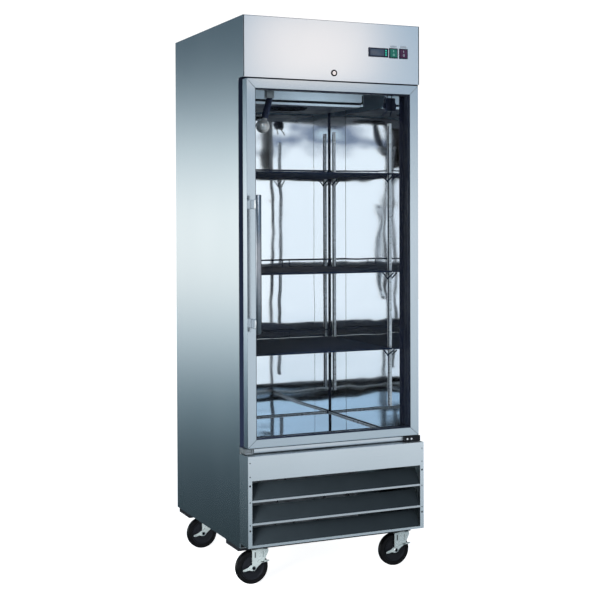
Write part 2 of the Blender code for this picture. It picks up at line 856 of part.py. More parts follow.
def build_evaporator():
    low, half, (front, back) = EVAPORATOR_LOW, EVAPORATOR_HALF, EVAPORATOR_DEPTH
    cover = box(
        "evaporator_cover",
        (-half, at_depth(front), low),
        (half, at_depth(back), LINER_CEILING - GAP),
        BRUSHED,
    )
    inside = box(
        "evaporator_cutter",
        (-half + SHEET, at_depth(front + SHEET), low + SHEET),
        (half - SHEET, at_depth(back - SHEET), LINER_CEILING + 0.01),
        BRUSHED,
    )
    fan_place = (0, at_depth(EVAPORATOR_FAN_DEPTH))
    throat = rod("fan_throat_cutter", 0.088, low - 0.01, low + 0.01, "Z", fan_place, BRUSHED, segments=32)
    cut(cover, inside, throat)
    motor = rod(
        "evaporator_fan_motor",
        0.030,
        EVAPORATOR_FAN_Z + 0.014,
        LINER_CEILING - GAP,
        "Z",
        fan_place,
        BLACK_PLASTIC,
        segments=20,
    )
    smooth(motor)
    hub_point = (*fan_place, EVAPORATOR_FAN_Z)
    fan_axis = pivot("evaporator_fan_axis", hub_point)
    fan_blades("evaporator_fan_blade", hub_point, "Z", 0.080, BLACK_PLASTIC, fan_axis)


# Running gear


def build_running_gear():
    for name, (start, end) in zip(("front", "rear"), CHANNEL_DEPTH):
        box(
            f"cross_channel_{name}",
            (-HALF + 0.001, at_depth(start), CHANNEL_BOTTOM),
            (HALF - 0.001, at_depth(end), BASE_BOTTOM - GAP),
            BLACK_PAINT,
        )
    for end_name, depth in zip(("front", "rear"), CASTER_DEPTH):
        for side_name, x in zip(("left", "right"), CASTER_X):
            build_caster(f"{end_name}_{side_name}", x, at_depth(depth))


def build_caster(place_name, x, y):
    swivel = pivot(f"caster_{place_name}_swivel", (x, y, CHANNEL_BOTTOM))
    axle_x = x - TRAIL
    build_fork(f"caster_fork_{place_name}", x, axle_x, y, swivel)
    axle = pivot(f"caster_{place_name}_axle", (axle_x, y, WHEEL_RADIUS))
    build_wheel(f"caster_wheel_{place_name}", (axle_x, y, WHEEL_RADIUS), axle)
    build_brake(f"caster_brake_{place_name}", axle_x, y, axle)


def leg_outline(x, axle_x):
    """One fork leg seen from the side, wide at the top and round at the axle."""
    top, boss = WHEEL_RADIUS * 2 + 0.003, 0.012
    around = [radians(angle) for angle in (200, 235, 270, 305, 340)]
    boss_points = [(axle_x + boss * cos(a), WHEEL_RADIUS + boss * sin(a)) for a in around]
    rear, front = x - FORK_REAR, x + FORK_FRONT
    knee = (front - 0.014, WHEEL_RADIUS + 0.027)
    return [(rear, top), (rear, WHEEL_RADIUS + 0.005), *boss_points, knee, (front, top - 0.010), (front, top)]


def build_fork(name, x, axle_x, y, swivel):
    leg_inner, leg_outer = WHEEL_HALF_WIDTH + 0.002, WHEEL_HALF_WIDTH + 0.0045
    bridge_low = WHEEL_RADIUS * 2 + 0.0015
    bridge_high = bridge_low + 0.002
    inset = 0.0007
    fork = box(
        name,
        (x - FORK_REAR + inset, y - leg_outer + inset, bridge_low),
        (x + FORK_FRONT - inset, y + leg_outer - inset, bridge_high),
        ZINC,
        swivel,
    )
    helpers = []
    for side_name, side in (("near", -1), ("far", 1)):
        edges = sorted((y + side * leg_inner, y + side * leg_outer))
        helpers.append(plate(f"{name}_{side_name}_leg", leg_outline(x, axle_x), [], *edges, "Y", ZINC))
    race_radius, race_low, race_high = 0.0215, bridge_high - 0.001, CHANNEL_BOTTOM - GAP
    helpers.append(rod(f"{name}_race", race_radius, race_low, race_high, "Z", (x, y), ZINC))
    head, nut_radius, nut = leg_outer + 0.0065, 0.0088, 0.0035
    centre = (axle_x, WHEEL_RADIUS)
    near, far = y - head, y + head
    helpers.append(rod(f"{name}_axle", AXLE_RADIUS, near, far, "Y", centre, ZINC, segments=16))
    helpers.append(rod(f"{name}_nut_near", nut_radius, near, near + nut, "Y", centre, ZINC, segments=6))
    helpers.append(rod(f"{name}_nut_far", nut_radius, far - nut, far, "Y", centre, ZINC, segments=6))
    join(fork, *helpers)


def build_wheel(name, centre, axle):
    half, bore = WHEEL_HALF_WIDTH, AXLE_RADIUS + 0.0004
    profile = [
        (bore, half + 0.0012),
        (0.017, half + 0.0012),
        (0.020, half - 0.002),
        (WHEEL_RADIUS - 0.014, half - 0.002),
        (WHEEL_RADIUS - 0.010, half),
        (WHEEL_RADIUS - 0.0025, half - 0.001),
        (WHEEL_RADIUS, half - 0.006),
    ]
    mirrored = [(r, -h) for r, h in reversed(profile)]
    turned(name, profile + mirrored, centre, "Y", RUBBER, axle, steps=32)


def build_brake(name, axle_x, y, axle):
    """A two-ended foot lever that hangs on the axle in front of the near leg."""
    z, ring = WHEEL_RADIUS, 0.0112
    lever = [
        (axle_x - 0.042, z - 0.010),
        (axle_x - 0.042, z - 0.004),
        (axle_x - 0.024, z + 0.002),
        (axle_x - 0.009, z + ring),
        (axle_x + 0.010, z + ring + 0.002),
        (axle_x + 0.034, z + 0.024),
        (axle_x + 0.062, z + 0.025),
        (axle_x + 0.062, z + 0.019),
        (axle_x + 0.036, z + 0.017),
        (axle_x + 0.016, z + 0.004),
        (axle_x + ring, z - 0.004),
        (axle_x + 0.004, z - ring),
        (axle_x - 0.007, z - ring + 0.001),
        (axle_x - 0.016, z - 0.007),
        (axle_x - 0.030, z - 0.010),
    ]
    near = y - (WHEEL_HALF_WIDTH + 0.0045) - GAP
    hole = circle(axle_x, z, AXLE_RADIUS + 0.0004, 16)
    brake = plate(name, lever, [hole], near - 0.0024, near, "Y", ZINC)
    ride_on(brake, axle)


build_shell()
build_insulated_box()
build_header()
build_controls()
build_sill()
build_door()
build_grille()
build_condensing_unit()
build_shelving()
build_lamp()
build_evaporator()
build_running_gear()
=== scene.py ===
"""The looks of the reach-in refrigerator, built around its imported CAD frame."""

import json
import math

import bmesh
import bpy
from mathutils import Matrix, Vector


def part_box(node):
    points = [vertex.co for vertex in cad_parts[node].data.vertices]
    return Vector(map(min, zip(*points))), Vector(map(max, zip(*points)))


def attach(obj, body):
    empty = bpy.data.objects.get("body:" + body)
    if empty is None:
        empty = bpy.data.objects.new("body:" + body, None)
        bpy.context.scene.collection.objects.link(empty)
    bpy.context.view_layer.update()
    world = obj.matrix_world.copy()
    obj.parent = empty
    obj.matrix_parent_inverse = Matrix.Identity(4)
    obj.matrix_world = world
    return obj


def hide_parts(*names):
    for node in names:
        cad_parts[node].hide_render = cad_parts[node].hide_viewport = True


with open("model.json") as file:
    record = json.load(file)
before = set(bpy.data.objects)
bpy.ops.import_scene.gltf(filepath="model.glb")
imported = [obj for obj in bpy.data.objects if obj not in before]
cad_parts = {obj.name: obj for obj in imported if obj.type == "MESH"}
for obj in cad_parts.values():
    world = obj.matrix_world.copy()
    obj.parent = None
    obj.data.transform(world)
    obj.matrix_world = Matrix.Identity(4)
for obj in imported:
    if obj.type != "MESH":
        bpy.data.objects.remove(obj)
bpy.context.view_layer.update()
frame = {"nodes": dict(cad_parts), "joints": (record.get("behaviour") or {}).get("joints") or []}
NODES = frame["nodes"]

CASTERS = ("front_left", "front_right", "rear_left", "rear_right")
SHELVES = ("upper", "middle", "lower")
LAMP_JOINT = (-0.202, -0.2025, 1.837)
FORK_REAR, FORK_FRONT = 0.034, 0.032
LEG_INNER, LEG_OUTER = 0.017, 0.0195
HALF_INCH = 0.0127
# Screw and bolt heads outside the cabinet stand out by only this much, to stay close to its overall size.
FLUSH_HEAD = 0.0001


# Reading the frame


def low(node):
    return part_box(node)[0]


def high(node):
    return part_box(node)[1]


def joint_point(name):
    """A point on a joint's axis, from the record."""
    found = [joint for joint in frame["joints"] if joint["name"] == name]
    return Vector(found[0]["pos_m"])


# Material helpers


def node(tree, kind, **settings):
    made = tree.nodes.new(kind)
    for key, value in settings.items():
        setattr(made, key, value)
    return made


def new_material(name, colour, roughness, metallic=0.0):
    """A Principled material and its node tree."""
    material = bpy.data.materials.new(name)
    material.use_nodes = True
    tree = material.node_tree
    shader = tree.nodes["Principled BSDF"]
    shader.inputs["Base Color"].default_value = (*colour, 1.0)
    shader.inputs["Roughness"].default_value = roughness
    shader.inputs["Metallic"].default_value = metallic
    return material, tree, shader


def noise(tree, scale, stretch=(1, 1, 1), detail=3.0, roughness=0.5):
    """Noise in the object's own metres, stretched by scaling each axis."""
    place = node(tree, "ShaderNodeTexCoord")
    mapping = node(tree, "ShaderNodeMapping")
    mapping.inputs["Scale"].default_value = stretch
    texture = node(tree, "ShaderNodeTexNoise")
    texture.inputs["Scale"].default_value = scale
    texture.inputs["Detail"].default_value = detail
    texture.inputs["Roughness"].default_value = roughness
    tree.links.new(place.outputs["Object"], mapping.inputs["Vector"])
    tree.links.new(mapping.outputs["Vector"], texture.inputs["Vector"])
    return texture.outputs["Fac"]


def spread(tree, value, to_low, to_high, from_low=0.3, from_high=0.7):
    """Maps a value to a range."""
    mapped = node(tree, "ShaderNodeMapRange")
    mapped.inputs["From Min"].default_value = from_low
    mapped.inputs["From Max"].default_value = from_high
    mapped.inputs["To Min"].default_value = to_low
    mapped.inputs["To Max"].default_value = to_high
    tree.links.new(value, mapped.inputs["Value"])
    return mapped.outputs["Result"]


def tint(tree, value, first, second):
    """A colour between two, driven by a value."""
    mix = node(tree, "ShaderNodeMix", data_type="RGBA")
    mix.inputs["A"].default_value = (*first, 1.0)
    mix.inputs["B"].default_value = (*second, 1.0)
    tree.links.new(value, mix.inputs["Factor"])
    return mix.outputs["Result"]


def bump(tree, shader, height, strength, distance):
    made = node(tree, "ShaderNodeBump")
    made.inputs["Strength"].default_value = strength
    made.inputs["Distance"].default_value = distance
    tree.links.new(height, made.inputs["Height"])
    tree.links.new(made.outputs["Normal"], shader.inputs["Normal"])
    return made


# The materials

GRAIN_UP = (420, 420, 2.2)
GRAIN_ACROSS = (2.2, 420, 420)


def brushed_steel(name, colour, roughness, grain=GRAIN_UP, contrast=1.0):
    """Steel sheet with fine grain lines one way and a few handling smears."""
    material, tree, shader = new_material(name, colour, roughness, 1.0)
    lines = noise(tree, 6.0, grain, detail=4.0, roughness=0.7)
    smears = noise(tree, 3.0, (1.0, 1.0, 0.7), detail=3.0)
    change = 0.03 * contrast
    paler = tuple(min(1.0, c * (1 + change)) for c in colour)
    darker = tuple(c * (1 - change) for c in colour)
    tree.links.new(tint(tree, lines, darker, paler), shader.inputs["Base Color"])
    grain_rough = spread(tree, lines, roughness - change, roughness + change)
    smear_rough = spread(tree, smears, -0.012, 0.015)
    total = node(tree, "ShaderNodeMath", operation="ADD")
    tree.links.new(grain_rough, total.inputs[0])
    tree.links.new(smear_rough, total.inputs[1])
    tree.links.new(total.outputs["Value"], shader.inputs["Roughness"])
    shader.inputs["Anisotropic"].default_value = 0.45
    bump(tree, shader, lines, change, 0.0002)
    return material


def polished_steel(name, colour, roughness, wave):
    """Mirror sheet that is slightly wavy."""
    material, tree, shader = new_material(name, colour, roughness, 1.0)
    waves = noise(tree, 2.2, (1.0, 1.0, 1.6), detail=1.5)
    haze = noise(tree, 9.0, (1.0, 1.0, 0.6), detail=4.0)
    tree.links.new(spread(tree, haze, roughness * 0.7, roughness * 1.8), shader.inputs["Roughness"])
    bump(tree, shader, waves, wave, 0.02)
    return material


def galvanised(name, colour, roughness):
    """Zinc-coated sheet with its crystal pattern."""
    material, tree, shader = new_material(name, colour, roughness, 1.0)
    place = node(tree, "ShaderNodeTexCoord")
    crystals = node(tree, "ShaderNodeTexVoronoi")
    crystals.inputs["Scale"].default_value = 90.0
    tree.links.new(place.outputs["Object"], crystals.inputs["Vector"])
    shade = spread(tree, crystals.outputs["Distance"], 0.0, 1.0, 0.0, 0.8)
    darker = tuple(c * 0.8 for c in colour)
    tree.links.new(tint(tree, shade, colour, darker), shader.inputs["Base Color"])
    tree.links.new(spread(tree, shade, roughness - 0.06, roughness + 0.1, 0, 1), shader.inputs["Roughness"])
    return material


def painted(name, colour, roughness, texture=0.15, gloss=0.2):
    """Powder coat with a fine orange peel."""
    material, tree, shader = new_material(name, colour, roughness)
    peel = noise(tree, 900.0, detail=2.0)
    cloud = noise(tree, 12.0, detail=3.0)
    paler = tuple(min(1.0, c * 1.35 + 0.003) for c in colour)
    tree.links.new(tint(tree, cloud, colour, paler), shader.inputs["Base Color"])
    tree.links.new(spread(tree, cloud, roughness - 0.06, roughness + 0.08), shader.inputs["Roughness"])
    bump(tree, shader, peel, texture, 0.0002)
    shader.inputs["Specular IOR Level"].default_value = gloss
    return material


def rubber(name, colour, roughness):
    material, tree, shader = new_material(name, colour, roughness)
    dust = noise(tree, 45.0, detail=5.0)
    paler = tuple(c * 2.2 + 0.004 for c in colour)
    dusty = spread(tree, dust, 0.0, 1.0, 0.45, 0.8)
    tree.links.new(tint(tree, dusty, colour, paler), shader.inputs["Base Color"])
    tree.links.new(spread(tree, dust, roughness - 0.08, roughness + 0.12), shader.inputs["Roughness"])
    bump(tree, shader, noise(tree, 1400.0, detail=2.0), 0.1, 0.0002)
    shader.inputs["Specular IOR Level"].default_value = 0.2
    return material


def plated(name, colour, roughness, metallic=1.0):
    """Zinc or chrome plate with soft wear."""
    material, tree, shader = new_material(name, colour, roughness, metallic)
    wear = noise(tree, 60.0, detail=4.0)
    darker = tuple(c * 0.82 for c in colour)
    tree.links.new(tint(tree, wear, colour, darker), shader.inputs["Base Color"])
    tree.links.new(spread(tree, wear, roughness * 0.7, roughness * 1.4), shader.inputs["Roughness"])
    return material


def clear_glass(name, colour):
    """Clear pane: what is behind shows through, with a Fresnel reflection on top."""
    material = bpy.data.materials.new(name)
    material.use_nodes = True
    tree = material.node_tree
    tree.nodes.clear()
    output = node(tree, "ShaderNodeOutputMaterial")
    through = node(tree, "ShaderNodeBsdfTransparent")
    through.inputs["Color"].default_value = (*colour, 1.0)
    gloss = node(tree, "ShaderNodeBsdfGlossy")
    gloss.inputs["Roughness"].default_value = 0.01
    fresnel = node(tree, "ShaderNodeFresnel")
    fresnel.inputs["IOR"].default_value = 1.10
    mix = node(tree, "ShaderNodeMixShader")
    tree.links.new(fresnel.outputs["Fac"], mix.inputs["Fac"])
    tree.links.new(through.outputs["BSDF"], mix.inputs[1])
    tree.links.new(gloss.outputs["BSDF"], mix.inputs[2])
    tree.links.new(mix.outputs["Shader"], output.inputs["Surface"])
    return material


def lit_plastic(name, colour, glow, roughness=0.25):
    """Translucent coloured plastic lit from behind."""
    material, tree, shader = new_material(name, colour, roughness)
    uneven = noise(tree, 120.0, detail=2.0)
    dim = tuple(c * 0.6 for c in colour)
    blend = tint(tree, uneven, dim, colour)
    tree.links.new(blend, shader.inputs["Base Color"])
    tree.links.new(blend, shader.inputs["Emission Color"])
    shader.inputs["Emission Strength"].default_value = glow
    return material


# One brushed stainless in several copies: grain direction and roughness follow the finish, but the base
# colours, darker on the door and paler on the grille and its lips, are painted light and shade.
STEEL_SIDE = brushed_steel("brushed_steel_side", (0.56, 0.62, 0.65), 0.22)
STEEL_FRONT = brushed_steel("brushed_steel_front", (0.66, 0.73, 0.785), 0.26, contrast=0.3)
STEEL_DOOR = brushed_steel("brushed_steel_door", (0.50, 0.57, 0.62), 0.20)
STEEL_ACROSS = brushed_steel("brushed_steel_across", (0.78, 0.83, 0.86), 0.24, GRAIN_ACROSS)
STEEL_LIP = brushed_steel("brushed_steel_lip", (0.84, 0.89, 0.92), 0.38, GRAIN_ACROSS)
STEEL_POLISHED = polished_steel("polished_liner", (0.90, 0.915, 0.935), 0.035, 0.25)
STEEL_BRIGHT = plated("polished_tube", (0.80, 0.82, 0.84), 0.12)
GALVANISED = galvanised("galvanised_sheet", (0.50, 0.53, 0.54), 0.42)
ZINC = plated("zinc_plate", (0.80, 0.88, 0.86), 0.30, 0.55)
PALE_ZINC = plated("pale_zinc_plate", (0.86, 0.89, 0.92), 0.30, 0.35)
# The bar is the same polished steel as its posts; its much darker base colour is painted shade.
DARKENED_HANDLE_STEEL = plated("handle_steel_painted_shade", (0.40, 0.43, 0.48), 0.14)
# Near-black: painted shade in the pressed slots of forks and brakes, and the real dark colour of the back and
# top screw heads.
SLOT_SHADE_AND_DARK_SCREWS = painted("slot_shade_and_dark_screws", (0.05, 0.06, 0.06), 0.5, 0.05)
CHROME = plated("chrome_plate", (0.82, 0.83, 0.85), 0.08)
BLACK_PAINT = painted("black_powder_coat", (0.008, 0.009, 0.012), 0.38)
# Near-black under the evaporator cover: painted shade on the same sheet as its grey face.
UNDERSIDE_SHADE = painted("underside_painted_shade", (0.004, 0.008, 0.020), 0.45, 0.05, 0.05)
FACE_GREY = painted("satin_grey_face", (0.42, 0.52, 0.60), 0.4, 0.05, 0.5)
# Dark slate: painted shade on the louvre slopes and in the header's joint gaps, and the real colour of the
# liner's seam lines.
SLATE_AND_SHADE = painted("slate_joints_and_painted_shade", (0.020, 0.027, 0.032), 0.45, 0.08, 0.08)
WIRE_COAT = painted("shelf_wire_coat", (0.012, 0.023, 0.054), 0.4, 0.05, 0.08)
BLACK_PLASTIC = painted("black_plastic", (0.014, 0.020, 0.042), 0.35, 0.05)
SEAL_RUBBER = rubber("seal_rubber", (0.026, 0.038, 0.058), 0.5)
TYRE_RUBBER = rubber("tyre_rubber", (0.0025, 0.0025, 0.003), 0.42)
FOAM = painted("foam_edge", (0.75, 0.70, 0.52), 0.85, 0.6)
ALUMINIUM = plated("fin_aluminium", (0.68, 0.70, 0.72), 0.35)
GLASS = clear_glass("clear_glass", (0.975, 0.985, 0.99))
GREEN_LENS = lit_plastic("green_lens", (0.005, 0.12, 0.09), 0.6)
RED_LENS = lit_plastic("dark_red_lens", (0.07, 0.015, 0.06), 0.25)
DISPLAY_LENS = lit_plastic("display_lens", (0.06, 0.09, 0.14), 0.25)
LED_GREEN = lit_plastic("led_green", (0.02, 0.45, 0.32), 0.9)
SYMBOL_PALE = lit_plastic("symbol_pale", (0.25, 0.55, 0.50), 0.5)
BULB_GLASS = plated("silvered_bulb", (0.90, 0.92, 0.92), 0.08, 0.6)
LABEL_GREY = painted("label_grey", (0.40, 0.46, 0.52), 0.5, 0.02)


# Mesh helpers


def add_piece(name, mesh, material, body):
    """Puts a mesh in the scene, gives it its material and makes it ride on its body."""
    piece = bpy.data.objects.new(name, mesh)
    bpy.context.scene.collection.objects.link(piece)
    mesh.materials.clear()
    mesh.materials.append(material)
    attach(piece, body)
    return piece


def finish_mesh(name, bm, smooth_angle=35, flat=False):
    """A mesh with smooth shading. With flat, faces square to an axis stay flat between rounded edges."""
    bmesh.ops.recalc_face_normals(bm, faces=bm.faces)
    mesh = bpy.data.meshes.new(name)
    bm.to_mesh(mesh)
    bm.free()
    mesh.shade_smooth()
    mesh.set_sharp_from_angle(angle=math.radians(smooth_angle))
    if flat:
        for polygon in mesh.polygons:
            if max(abs(c) for c in polygon.normal) > 0.9999:
                polygon.use_smooth = False
    return mesh


def put(name, bm, material, body="cabinet", node_name=None, smooth_angle=35, flat=False):
    """Makes a bmesh a piece that rides on a body, in the place of a CAD node if one is named."""
    piece = add_piece(name, finish_mesh(name, bm, smooth_angle, flat), material, body)
    if node_name:
        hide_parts(node_name)


def add_box(bm, low_corner, high_corner, bevel=0.0, segments=2):
    """A box with rounded edges, added to a bmesh."""
    size = [b - a for a, b in zip(low_corner, high_corner)]
    centre = [(a + b) / 2 for a, b in zip(low_corner, high_corner)]
    matrix = Matrix.Translation(centre) @ Matrix.Diagonal((*size, 1.0))
    made = bmesh.ops.create_cube(bm, size=1.0, matrix=matrix)
    if bevel > 0:
        edges = {edge for vert in made["verts"] for edge in vert.link_edges}
        bmesh.ops.bevel(bm, geom=list(edges), offset=bevel, segments=segments, profile=0.5, affect="EDGES")


AXIS_TURN = {
    "X": Matrix.Rotation(math.pi / 2, 4, "Y"),
    "Y": Matrix.Rotation(-math.pi / 2, 4, "X"),
    "Z": Matrix.Identity(4),
}


def add_turned(bm, profile, centre, axis="Z", steps=32, tilt=None):
    """A turned shape from (radius, height) points, height along the axis. A closed ring has no point at 0."""
    turn = Matrix.Translation(centre) @ (tilt or Matrix.Identity(4)) @ AXIS_TURN[axis]
    rings = []
    for radius, height in profile:
        if radius < 1e-7:
            rings.append([bm.verts.new(turn @ Vector((0, 0, height)))])
            continue
        ring = []
        for i in range(steps):
            angle = 2 * math.pi * i / steps
            point = Vector((radius * math.cos(angle), radius * math.sin(angle), height))
            ring.append(bm.verts.new(turn @ point))
        rings.append(ring)
    pairs = list(zip(rings, rings[1:]))
    if min(radius for radius, _ in profile) > 1e-7:
        pairs.append((rings[-1], rings[0]))
    for first, second in pairs:
        join_rings(bm, first, second, steps)


def join_rings(bm, first, second, steps):
    for i in range(steps):
        j = (i + 1) % steps
        corners = [first[i % len(first)], first[j % len(first)]]
        corners += [second[j % len(second)], second[i % len(second)]]
        face = list(dict.fromkeys(corners))
        if len(face) > 2:
            bm.faces.new(face)


def add_rod(bm, radius, start, end, steps=12):
    """A round bar between two points."""
    start, end = Vector(start), Vector(end)
    along = end - start
    turn = along.to_track_quat("Z", "Y").to_matrix().to_4x4()
    matrix = Matrix.Translation((start + end) / 2) @ turn
    bmesh.ops.create_cone(
        bm, cap_ends=True, segments=steps, radius1=radius, radius2=radius, depth=along.length, matrix=matrix
    )


def add_prism(bm, outline, start, end, axis):
    """A flat outline drawn out along an axis. Its points are the other two coordinates in X, Y, Z order."""
    index = "XYZ".index(axis)

    def corner(point, depth):
        values = list(point)
        values.insert(index, depth)
        return bm.verts.new(values)

    first = [corner(point, start) for point in outline]
    second = [corner(point, end) for point in outline]
    bm.faces.new(first)
    bm.faces.new(list(reversed(second)))
    join_rings(bm, first, second, len(outline))


def plate_with_holes(name, outline, holes, start, end, axis):
    """A mesh plate with holes, flat across an axis."""
    curve = bpy.data.curves.new(name, "CURVE")
    curve.dimensions = "2D"
    curve.fill_mode = "BOTH"
    curve.extrude = (end - start) / 2
    for loop in [outline, *holes]:
        spline = curve.splines.new("POLY")
        spline.points.add(len(loop) - 1)
        for point, (u, v) in zip(spline.points, loop):
            point.co = (u, v, 0.0, 1.0)
        spline.use_cyclic_u = True
    holder = bpy.data.objects.new(name, curve)
    bpy.context.scene.collection.objects.link(holder)
    bpy.context.view_layer.update()
    mesh = bpy.data.meshes.new_from_object(holder.evaluated_get(bpy.context.evaluated_depsgraph_get()))
    bpy.data.objects.remove(holder)
    turn = {
        "X": Matrix(((0, 0, 1), (1, 0, 0), (0, 1, 0))).to_4x4(),
        "Y": Matrix(((1, 0, 0), (0, 0, -1), (0, 1, 0))).to_4x4(),
        "Z": Matrix.Identity(4),
    }[axis]
    shift = [0, 0, 0]
    shift["XYZ".index(axis)] = (start + end) / 2
    bm = bmesh.new()
    bm.from_mesh(mesh)
    bmesh.ops.remove_doubles(bm, verts=bm.verts, dist=0.00001)
    bmesh.ops.transform(bm, matrix=Matrix.Translation(shift) @ turn, verts=bm.verts)
    bpy.data.meshes.remove(mesh)
    return finish_mesh(name, bm)


def rectangle(u0, v0, u1, v1):
    return [(u0, v0), (u1, v0), (u1, v1), (u0, v1)]


def dress(material, *names):
    """Gives CAD nodes a better material, and smooth shading that keeps their sharp edges."""
    for name in names:
        mesh = NODES[name].data
        mesh.materials.clear()
        mesh.materials.append(material)
        mesh.shade_smooth()
        mesh.set_sharp_from_angle(angle=math.radians(35))


# Camera, light and floor


def build_stage():
    camera_data = bpy.data.cameras.new("camera")
    camera = bpy.data.objects.new("camera", camera_data)
    bpy.context.scene.collection.objects.link(camera)
    camera.location = (-2.0122, -4.5468, 1.3717)
    yaw, pitch, roll = 0.4195, -0.0158, -0.0032
    look = Vector((math.sin(yaw) * math.cos(pitch), math.cos(yaw) * math.cos(pitch), math.sin(pitch)))
    camera.rotation_mode = "QUATERNION"
    straight = look.to_track_quat("-Z", "Y")
    camera.rotation_quaternion = straight @ Matrix.Rotation(roll, 3, "Z").to_quaternion()
    camera_data.sensor_width = 36.0
    camera_data.lens = 73.504
    camera_data.shift_y = -0.10
    bpy.context.scene.camera = camera
    bpy.context.scene.view_settings.view_transform = "Standard"

    bm = bmesh.new()
    bmesh.ops.create_grid(bm, x_segments=8, y_segments=8, size=14.0)
    floor = bpy.data.objects.new("floor", finish_mesh("floor", bm))
    bpy.context.scene.collection.objects.link(floor)
    material, tree, shader = new_material("pale_floor", (0.93, 0.94, 0.95), 0.6)
    mottle = noise(tree, 2.0, detail=3.0)
    tree.links.new(tint(tree, mottle, (0.92, 0.93, 0.94), (0.95, 0.96, 0.97)), shader.inputs["Base Color"])
    shader.inputs["Emission Color"].default_value = (1.0, 1.0, 1.0, 1.0)
    shader.inputs["Emission Strength"].default_value = 0.90
    floor.data.materials.append(material)
    floor.visible_glossy = False
    floor.visible_diffuse = False
    build_world()
    build_lights()


def ramp(tree, value, stops, blend="EASE"):
    made = node(tree, "ShaderNodeValToRGB")
    made.color_ramp.interpolation = blend
    elements = made.color_ramp.elements
    while len(elements) < len(stops):
        elements.new(0.5)
    for element, (position, colour) in zip(elements, stops):
        element.position = position
        element.color = (*colour, 1.0)
    tree.links.new(value, made.inputs["Fac"])
    return made.outputs["Color"]


STUDIO_PEAK = 1.5


def studio_stops(stops):
    """Colours given as the brightness that steel should reflect, scaled to fit a ramp."""
    return [(position, tuple(c / STUDIO_PEAK for c in colour)) for position, colour in stops]


def grey(value):
    return (value, value, value)


def build_world():
    """A studio that reflects as a bright band level with the cabinet. The camera sees plain white."""
    world = bpy.data.worlds.new("studio")
    bpy.context.scene.world = world
    world.use_nodes = True
    tree = world.node_tree
    tree.nodes.clear()
    place = node(tree, "ShaderNodeTexCoord")
    parts = node(tree, "ShaderNodeSeparateXYZ")
    tree.links.new(place.outputs["Generated"], parts.inputs["Vector"])
    height = spread(tree, parts.outputs["Z"], 0.0, 1.0, -1.0, 1.0)
    behind = ramp(
        tree,
        height,
        studio_stops(
            [
                (0.0, (0.02, 0.03, 0.035)),
                (0.36, (0.03, 0.045, 0.05)),
                (0.405, (0.06, 0.09, 0.11)),
                (0.43, (0.20, 0.29, 0.34)),
                (0.455, (0.75, 0.86, 0.92)),
                (0.475, (1.25, 1.28, 1.27)),
                (0.503, (1.40, 1.42, 1.40)),
                (0.525, (0.95, 1.05, 1.10)),
                (0.545, (0.38, 0.48, 0.54)),
                (0.565, (0.10, 0.15, 0.19)),
                (0.62, (0.08, 0.12, 0.15)),
                (1.0, (0.25, 0.30, 0.35)),
            ]
        ),
        "LINEAR",
    )
    before = ramp(
        tree,
        height,
        studio_stops(
            [
                (0.0, (0.55, 0.60, 0.64)),
                (0.22, (0.50, 0.55, 0.59)),
                (0.29, (0.10, 0.13, 0.15)),
                (0.36, (0.22, 0.29, 0.33)),
                (0.388, (0.46, 0.56, 0.64)),
                (0.405, (0.82, 0.89, 0.95)),
                (0.44, (0.92, 0.98, 1.04)),
                (0.47, (1.12, 1.15, 1.19)),
                (0.537, (1.16, 1.19, 1.22)),
                (0.543, (0.15, 0.20, 0.32)),
                (0.548, (0.12, 0.16, 0.25)),
                (0.552, (0.85, 0.95, 1.00)),
                (0.56, (0.50, 0.70, 0.90)),
                (0.60, (0.42, 0.55, 0.68)),
                (1.0, (0.60, 0.65, 0.70)),
            ]
        ),
        "LINEAR",
    )
    across = node(tree, "ShaderNodeMath", operation="ABSOLUTE")
    tree.links.new(parts.outputs["X"], across.inputs[0])
    windows = ramp(
        tree,
        across.outputs["Value"],
        [
            (0.0, grey(0.42)),
            (0.17, grey(0.42)),
            (0.27, grey(1.0)),
            (0.60, grey(1.0)),
            (0.72, grey(0.35)),
            (1.0, grey(0.3)),
        ],
    )
    left_glow = spread(tree, parts.outputs["X"], 1.25, 0.75, -0.5, -0.2)
    lit_behind = multiplied(tree, behind, left_glow)
    lit_before = multiplied(tree, before, windows)
    side = spread(tree, parts.outputs["Y"], 0.0, 1.0, 0.25, -0.25)
    mix = node(tree, "ShaderNodeMix", data_type="RGBA")
    tree.links.new(side, mix.inputs["Factor"])
    tree.links.new(lit_behind, mix.inputs["A"])
    tree.links.new(lit_before, mix.inputs["B"])
    studio = node(tree, "ShaderNodeBackground")
    studio.inputs["Strength"].default_value = STUDIO_PEAK
    tree.links.new(mix.outputs["Result"], studio.inputs["Color"])
    white = node(tree, "ShaderNodeBackground")
    white.inputs["Color"].default_value = (1.0, 1.0, 1.0, 1.0)
    white.inputs["Strength"].default_value = 1.1
    path = node(tree, "ShaderNodeLightPath")
    chosen = node(tree, "ShaderNodeMixShader")
    output = node(tree, "ShaderNodeOutputWorld")
    tree.links.new(path.outputs["Is Camera Ray"], chosen.inputs["Fac"])
    tree.links.new(studio.outputs["Background"], chosen.inputs[1])
    tree.links.new(white.outputs["Background"], chosen.inputs[2])
    tree.links.new(chosen.outputs["Shader"], output.inputs["Surface"])


def multiplied(tree, first, second):
    """Two colours multiplied together."""
    product = node(tree, "ShaderNodeMix", data_type="RGBA", blend_type="MULTIPLY")
    product.inputs["Factor"].default_value = 1.0
    tree.links.new(first, product.inputs["A"])
    tree.links.new(second, product.inputs["B"])
    return product.outputs["Result"]


def add_area_light(name, location, target, size, power, colour=(1, 1, 1)):
    data = bpy.data.lights.new(name, "AREA")
    data.shape = "RECTANGLE"
    data.size, data.size_y = size
    data.energy = power
    data.color = colour
    light = bpy.data.objects.new(name, data)
    bpy.context.scene.collection.objects.link(light)
    light.location = location
    aim = Vector(target) - Vector(location)
    light.rotation_mode = "QUATERNION"
    light.rotation_quaternion = aim.to_track_quat("-Z", "Y")
    light.visible_camera = False
    return light


